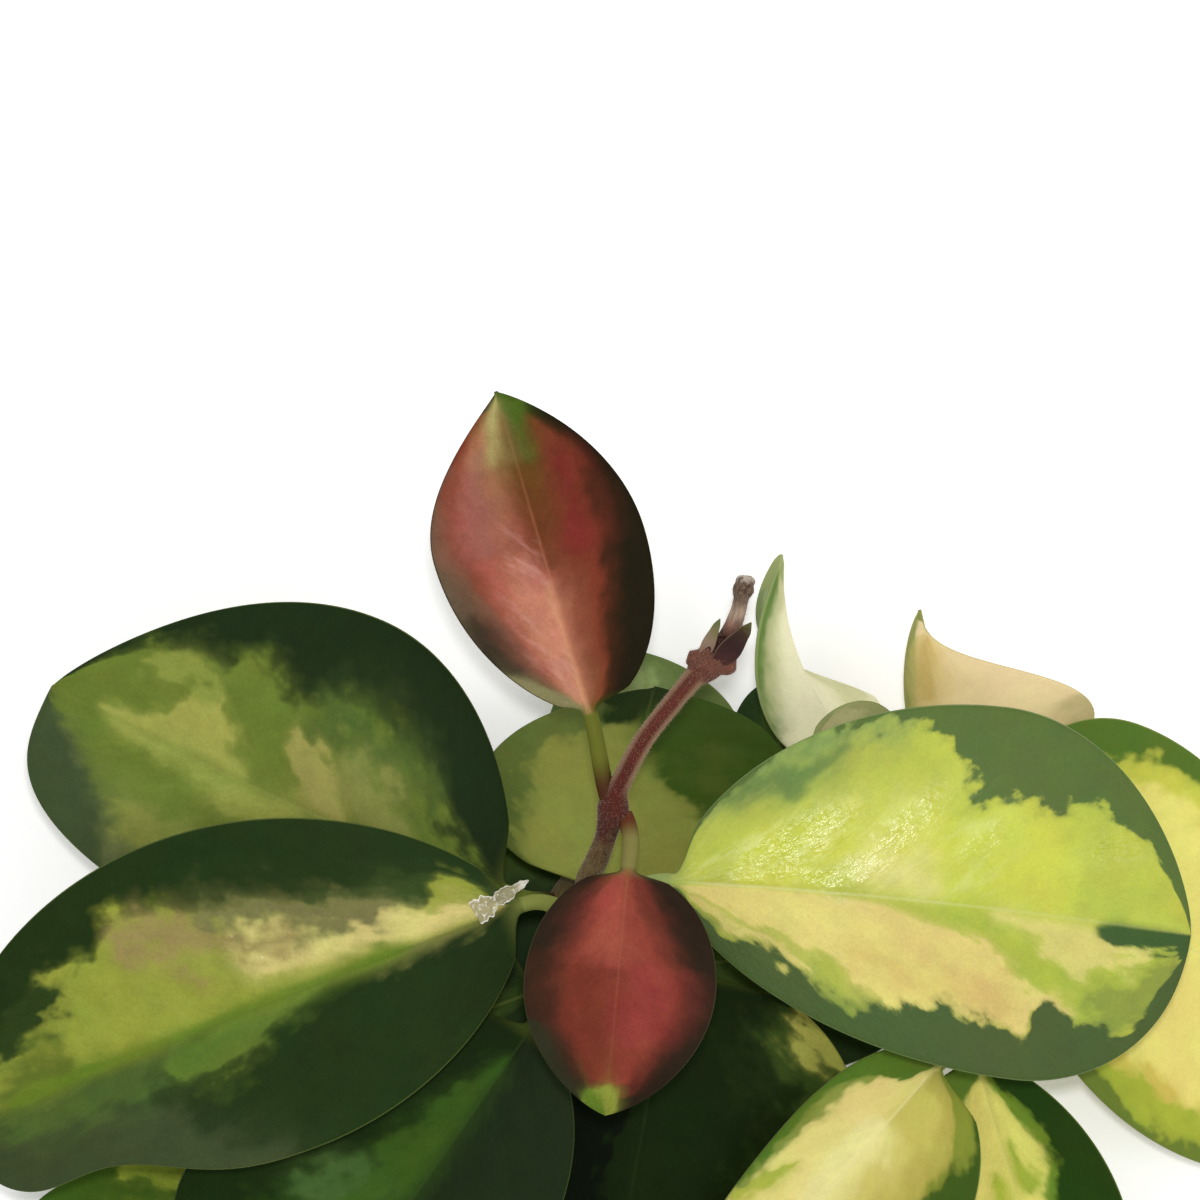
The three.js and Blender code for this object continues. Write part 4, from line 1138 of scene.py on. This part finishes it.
curled_right = leaf(
    "curled_right", END_NODE, (51, 30.5, 19), (43.2, 64, 31), face=(DOWN, DOWN), left=(26.5, 0.25, 0.5, 3),
    right=(6.4, 0.4, 0.5, 0.8), fold=(0.1, 0.1), cup=0.05, wave=0.1, quilt=0.05,
)
curled_right_bands = [
    (tint(228, 202, 140), 0.12, [(0.35, 0.2, 0.8), (0.5, 0, 0.9), (0.7, -0.3, 1), (0.85, -0.7, 1)]),
    (tint(210, 182, 112), 0.1, [(0.56, 0.1, 0.5), (0.66, 0, 0.6), (0.76, -0.2, 0.5), (0.84, -0.4, 0.2)]),
    (tint(184, 174, 102), 0.08, [(0.3, 0.7, 1), (0.6, 0.66, 1), (0.86, 0.6, 1)]),
    (tint(148, 152, 90), 0.06, [(0.2, 0.9, 1), (0.5, 0.88, 1), (0.8, 0.84, 1), (0.95, 0.5, 1)]),
    (tint(186, 170, 122), 0.12, [(0, -1, -0.5), (0.12, -1, -0.7), (0.22, -1, -0.86), (0.34, -1, -0.94)]),
    (tint(134, 144, 76), 0.08, [(0.88, -1, -0.9), (0.93, -1, -0.4), (0.96, -1, 0.6), (1, -1, 1)]),
]
curled_right_finish = leaf_finish(
    "curled_right", tint(240, 216, 166), curled_right_bands, seed=9.4, pale=0.05, mottle=0.14, drift=0.03,
    tear=0.16, midrib=tint(226, 208, 160), rim=tint(186, 174, 116),
)
grown_from_stem(curled_right, curled_right_finish, "leaf_curled_right")

small_end = leaf(
    "small_end", END_NODE, (39, 35.5, 27), (25, 43.5, 31), bow=(0, 0, 1), left=(8, 0.5, 0.5, 0.6),
    right=(9, 0.5, 0.5, 0.6), fold=(0.1, 0.1), wave=0.1, quilt=0.04,
)
small_end_bands = [
    (tint(182, 176, 128), 0.08, [(0.2, -0.3, 0.3), (0.6, -0.5, 0.6), (0.9, -0.6, 0.7)]),
]
small_end_finish = leaf_finish("small_end", tint(146, 152, 98), small_end_bands, seed=1.1, mottle=0.25)
grown_from_stem(small_end, small_end_finish, "leaf_small_end")

behind_curl = leaf(
    "behind_curl", END_BUD, (22.5, 29, 6), (15.5, 50.5, 1.8), bow=(0, 0, 1), left=(9, 0.45, 0.5, 0.65),
    right=(9, 0.45, 0.5, 0.65), fold=(0.06, 0.06), wave=0.1, quilt=0.04,
)
plain_bands = [
    (tint(62, 82, 34), 0.06, [(0.05, -0.1, 0.1), (0.3, -0.35, 0.3), (0.6, -0.3, 0.4), (0.85, -0.1, 0.15)]),
]
behind_curl_finish = leaf_finish("behind_curl", tint(42, 62, 32), plain_bands, seed=2.9)
grown_from_stem(behind_curl, behind_curl_finish, "leaf_behind_curl")

# The cream and yellow leaves of the right shoot, which show past the large right leaf. Their green
# margins are narrow.
far_right = leaf(
    "far_right", CURL_NODE, (52, 18, 26), (127.35, -9, 0.3), bow=(0, 0, 6), left=(34.5, 0.24, 0.3, 1.5),
    right=(35.2, 0.7, 1.02, 0.5),
)
far_right_bands = [
    (tint(198, 198, 78), 0.03, [(0, -1, -0.6), (0.2, -1, -0.66), (0.3, -1, -0.7), (0.4, -1, -0.74),
     (0.6, -1, -0.7), (1, -1, -0.5)]),
    (tint(206, 188, 88), 0.03, [(0, 0.6, 1), (0.4, 0.68, 1), (0.55, 0.68, 1), (0.65, 0.7, 1), (0.8, 0.7, 1),
     (1, 0.4, 1)]),
    (tint(164, 176, 60), 0.018, [(0, 0.7, 1), (0.42, 0.78, 1), (0.5, 0.74, 1), (0.6, 0.8, 1),
     (0.8, 0.76, 1), (1, 0.5, 1)]),
    (tint(84, 112, 42), 0.018, [(0, -1, -0.7), (0.12, -1, -0.74), (0.22, -1, -0.78), (0.3, -1, -0.86),
     (0.4, -1, -0.9), (0.6, -1, -0.86), (0.8, -1, -0.88), (1, -1, -0.6)]),
    (tint(104, 122, 48), 0.015, [(0, 0.84, 1), (0.4, 0.92, 1), (0.5, 0.91, 1), (0.6, 0.95, 1),
     (0.8, 0.86, 1), (1, 0.6, 1)]),
]
far_right_finish = leaf_finish(
    "far_right", tint(232, 220, 122), far_right_bands, seed=4.8, mottle=0.2, midrib=tint(216, 210, 138),
    tear=0.14, rim=tint(150, 160, 90),
)
grown_from_stem(far_right, far_right_finish, "leaf_far_right")

lower_yellow = leaf(
    "lower_yellow", RIGHT_NODE, (46.4, -15.9, 33), (-2.6, -72.4, 17), bow=(0, 0, 5),
    left=(25, 0.45, 0.45, 0.6), right=(13.3, 0.35, 0.35, 0.5), fold=(0, -0.3),
)
lower_yellow_bands = [
    # Painted shade: the first two bands darken the left half towards olive, as its shaded side.
    (tint(178, 167, 80), 0.04, [(0.02, -0.7, -0.05), (0.15, -0.72, -0.12), (0.3, -0.72, -0.12),
     (0.5, -0.7, -0.1), (0.9, -0.4, -0.05)]),
    (tint(194, 184, 92), 0.04, [(0.08, -0.3, -0.02), (0.3, -0.3, -0.02), (0.6, -0.3, -0.02)]),
    (tint(230, 222, 148), 0.06, [(0.2, -0.06, 0.2), (0.32, -0.06, 0.26), (0.46, -0.04, 0.2)]),
    (tint(178, 184, 74), 0.025, [(0.4, 0.5, 0.56), (0.45, 0.56, 0.74), (0.51, 0.68, 0.9),
     (0.56, 0.8, 0.94)]),
    (tint(130, 138, 50), 0.025, [(0, -1, -0.4), (0.06, -1, -0.54), (0.12, -1, -0.62), (0.18, -1, -0.6),
     (0.26, -1, -0.56), (0.4, -1, -0.6), (0.7, -1, -0.65), (1, -1, -0.4)]),
    (tint(60, 84, 26), 0.02, [(0.05, -1, -0.96), (0.14, -1, -0.84), (0.2, -1, -0.72), (0.26, -1, -0.64),
     (0.5, -1, -0.72), (0.8, -1, -0.75), (1, -1, -0.6)]),
    (tint(140, 152, 70), 0.02, [(0.1, 0.66, 1), (0.18, 0.74, 1), (0.26, 0.72, 1), (0.36, 0.76, 1),
     (0.44, 0.84, 1), (0.52, 0.9, 1)]),
    (tint(88, 120, 40), 0.02, [(0, 0, 1), (0.04, 0.16, 1), (0.08, 0.3, 1), (0.1, 0.46, 1), (0.13, 0.66, 1),
     (0.17, 0.84, 1), (0.3, 0.88, 1), (0.6, 0.94, 1), (1, 0.6, 1)]),
]
lower_yellow_finish = leaf_finish(
    "lower_yellow", tint(228, 214, 130), lower_yellow_bands, seed=5.9, mottle=0.2, tear=0.14,
    midrib=tint(228, 220, 152), midrib_share=0.5, rim=tint(126, 142, 80),
)
grown_from_stem(lower_yellow, lower_yellow_finish, "leaf_lower_yellow")

lower_right = leaf(
    "lower_right", RIGHT_NODE, (53, -14.5, 22.5), (72, -76, 5), bow=(0, 0, 4), left=(17.8, 0.54, 0.78, 0.6),
    right=(16, 0.5, 0.4, 0.6), fold=(0, 0),
)
lower_right_bands = [
    (tint(110, 136, 42), 0.03, [(0, -1, -0.1), (0.1, -1, -0.14), (0.16, -1, -0.3), (0.25, -1, -0.42),
     (0.34, -1, -0.4), (0.45, -1, -0.28), (0.7, -1, -0.3), (1, -1, -0.2)]),
    (tint(36, 61, 16), 0.025, [(0, -1, -0.2), (0.08, -1, -0.3), (0.14, -1, -0.44), (0.22, -1, -0.56),
     (0.32, -1, -0.54), (0.42, -1, -0.4), (0.7, -1, -0.4), (1, -1, -0.3)]),
    (tint(160, 174, 62), 0.03, [(0.26, -0.14, -0.1), (0.32, -0.2, -0.06), (0.4, -0.24, -0.08)]),
    (tint(168, 184, 64), 0.03, [(0.34, 0.14, 0.22), (0.4, 0.06, 0.24), (0.6, 0.1, 0.3)]),
    (tint(92, 122, 42), 0.03, [(0, -0.2, 1), (0.06, 0, 1), (0.1, 0.3, 1), (0.16, 0.5, 1), (0.3, 0.62, 1),
     (0.7, 0.7, 1), (1, 0.5, 1)]),
]
lower_right_finish = leaf_finish(
    "lower_right", tint(222, 213, 112), lower_right_bands, seed=6.6, mottle=0.26, rim=tint(128, 142, 56),
    tear=0.14, midrib=tint(206, 202, 118),
)
grown_from_stem(lower_right, lower_right_finish, "leaf_lower_right")

# The dark leaves low on the stem, in the shade of the upper ones, with narrow brighter bands beside
# their midribs.
lower_left = leaf(
    "lower_left", DARK_NODE, (-24.8, -9.1, 31), (-70, -74, 13), bow=(0, 0, 5), left=(24, 0.45, 0.58, 0.65),
    right=(36, 0.68, 0.62, 0.5), fold=(0.05, 0.05),
)
lower_left_bands = [
    (tint(30, 42, 21), 0.02, [(0, -1, 0), (0.5, -1, 0), (1, -1, 0)]),
    (tint(58, 88, 28), 0.035, [(0.1, 0.02, 0.08), (0.2, 0.02, 0.18), (0.32, 0.02, 0.22), (0.42, 0.02, 0.28),
     (0.5, 0.05, 0.36), (0.6, 0.1, 0.44), (0.72, 0.15, 0.5), (0.85, 0.1, 0.4)]),
    (tint(72, 100, 48), 0.04, [(0.46, 0.24, 0.32), (0.55, 0.3, 0.48), (0.62, 0.36, 0.46)]),
]
lower_left_finish = leaf_finish(
    "lower_left", tint(28, 46, 16), lower_left_bands, seed=7.3, midrib=tint(62, 82, 40), midrib_share=0.3,
    rim=tint(72, 92, 44), tear=0.2,
)
grown_from_stem(lower_left, lower_left_finish, "leaf_lower_left")

lower_corner = leaf(
    "lower_corner", LOW_NODE, (-30, -49, 12), (-117, -53, 4), bow=(0, 0, 3), left=(20, 0.5, 0.5, 0.65),
    right=(20, 0.5, 0.5, 0.33),
)
lower_corner_bands = [
    (tint(66, 96, 28), 0.05, [(0.1, 0, 0.3), (0.4, -0.2, 1), (0.6, -0.3, 1), (0.8, -0.3, 1), (1, -0.2, 1)]),
    (tint(150, 166, 58), 0.04, [(0.46, 0.84, 1), (0.54, 0.7, 1), (0.62, 0.66, 1), (0.7, 0.72, 1),
     (0.76, 0.86, 1)]),
    (tint(84, 108, 34), 0.05, [(0.64, 0.4, 0.6), (0.74, 0.3, 0.66), (0.86, 0.4, 0.6)]),
]
lower_corner_finish = leaf_finish("lower_corner", tint(40, 62, 22), lower_corner_bands, seed=8.8)
grown_from_stem(lower_corner, lower_corner_finish, "leaf_lower_corner")

centre_dark = leaf(
    "centre_dark", DARK_NODE, (0, 2, 23), (-14, -74, 12), bow=(0, 0, 3), left=(38, 0.36, 0.4, 0.6),
    right=(17, 0.5, 0.5, 0.6), fold=(-0.12, 0),
)
centre_dark_bands = [
    (tint(58, 76, 28), 0.05, [(0.08, -1, -0.8), (0.15, -1, -0.62), (0.24, -1, -0.66), (0.34, -1, -0.7),
     (0.5, -1, -0.8)]),
    (tint(166, 164, 78), 0.025, [(0.08, -1, -0.92), (0.12, -1, -0.82), (0.17, -1, -0.8),
     (0.22, -1, -0.92)]),
    # Painted shade: the near-black band over the right half is the deep shadow it lies in under the leaves
    # above.
    (tint(10, 18, 6), 0.04, [(0, -0.2, 1), (0.1, 0, 1), (0.3, 0.2, 1), (0.5, 0.28, 1), (1, 0.3, 1)]),
]
centre_dark_finish = leaf_finish(
    "centre_dark", tint(22, 36, 10), centre_dark_bands, seed=9.9, midrib=tint(44, 60, 30), midrib_share=0.3,
    rim=tint(60, 76, 32),
)
grown_from_stem(centre_dark, centre_dark_finish, "leaf_centre_dark")

# The leaves that the upper ones hide, and those of the lowest nodes near the cut end: dark green,
# painted darker than their own green as the shade under the upper leaves, with a lighter band along the
# midrib.
HIDDEN_ROWS = 64
# Each is a leaf's node, the end of its stalk, its tip, how it arches and its two halves' outlines
PLAIN_LEAVES = {
    "low_right": (
        LOW_NODE, (-6, -56, 9), (52, -94, 3), (0, 0, 2), (19, 0.5, 0.5, 0.65), (19, 0.5, 0.5, 0.65),
    ),
    "low_left": (
        LAST_NODE, (-25, -81, 7), (-84, -90, 3), (0, 0, 3), (15, 0.5, 0.5, 0.65), (15, 0.5, 0.5, 0.65),
    ),
    "back_low_left": (
        HIDDEN_NODE, (-24, -3.5, 14), (-84, -26, 2.5), (0, 0, 2),
        (14, 0.5, 0.5, 0.65), (20, 0.45, 0.35, 0.65),
    ),
    "back_right": (
        HIDDEN_NODE, (-9, 0, 13), (52, 5, 4), (0, 0, 2), (21, 0.5, 0.5, 0.65), (21, 0.5, 0.5, 0.65),
    ),
    "back_left": (
        BACK_NODE, (-17.5, 21.3, 6.5), (-86, 25, 0.385), (0, 0, 2.5),
        (28, 0.45, 0.25, 0.65), (18, 0.5, 0.5, 0.65),
    ),
}
for index, (name, (root, base, tip, bow, left, right)) in enumerate(PLAIN_LEAVES.items()):
    hidden = leaf(name, root, base, tip, left, right, bow, rows=HIDDEN_ROWS)
    # The ground green is painted darker than these leaves' own colour, as painted shade under the upper
    # leaves.
    finish = leaf_finish(name, tint(36, 54, 26), plain_bands, seed=11.0 + 1.7 * index)
    grown_from_stem(hidden, finish, "leaf_" + name)

# The pale table top that the vine lies on, and the light of a bright white room: a large soft lamp
# above and to the left, a second one across from it, a small one near the camera, and pale walls.
TABLE_SIZE = 3.0
TABLE_DROP = 0.2 * MM
WALL_LIGHT = 0.5
LAMPS_AIM = (0, 0, 30 * MM)
bpy.ops.mesh.primitive_plane_add(size=TABLE_SIZE, location=(0, 0, -TABLE_DROP))
table = bpy.context.object
table.name = "table"
table_finish, _, _ = finish_of(
    "table_top", Roughness=0.9, Base_Color=(0.97, 0.97, 0.97, 1), Emission_Color=(1, 1, 1, 1),
    Emission_Strength=0.22,
)
table.data.materials.append(table_finish)

world = bpy.data.worlds.new("white room")
world.use_nodes = True
world.node_tree.nodes["Background"].inputs["Color"].default_value = (1, 1, 1, 1)
world.node_tree.nodes["Background"].inputs["Strength"].default_value = WALL_LIGHT
bpy.context.scene.world = world
bpy.context.scene.view_settings.view_transform = "Standard"


def lamp(name, spot, size, power):
    """A square soft lamp that shines at the middle of the vine."""
    data = bpy.data.lights.new(name, "AREA")
    data.size = size
    data.energy = power
    made = bpy.data.objects.new(name, data)
    made.location = spot
    made.rotation_euler = (Vector(LAMPS_AIM) - Vector(spot)).to_track_quat("-Z", "Y").to_euler()
    bpy.context.scene.collection.objects.link(made)


lamp("key", (-0.75, 0.7, 1.1), 0.8, 4.0)
lamp("fill", (0.95, -0.3, 1.1), 0.8, 5.0)
lamp("sparkle", (0.0, 0.17, 1.9), 0.1, 11.5)

# The camera, straight above the vine and 2 metres up, as the picture was taken
CAMERA_SPOT = (-0.0131, 0.0658, 2.045)
FRAME_WIDTH = 0.210
FRAME_DISTANCE = 2.0
SENSOR = 36.0
camera_data = bpy.data.cameras.new("camera")
camera_data.sensor_width = SENSOR
camera_data.lens = SENSOR * FRAME_DISTANCE / FRAME_WIDTH
camera = bpy.data.objects.new("camera", camera_data)
camera.location = CAMERA_SPOT
bpy.context.scene.collection.objects.link(camera)
bpy.context.scene.camera = camera
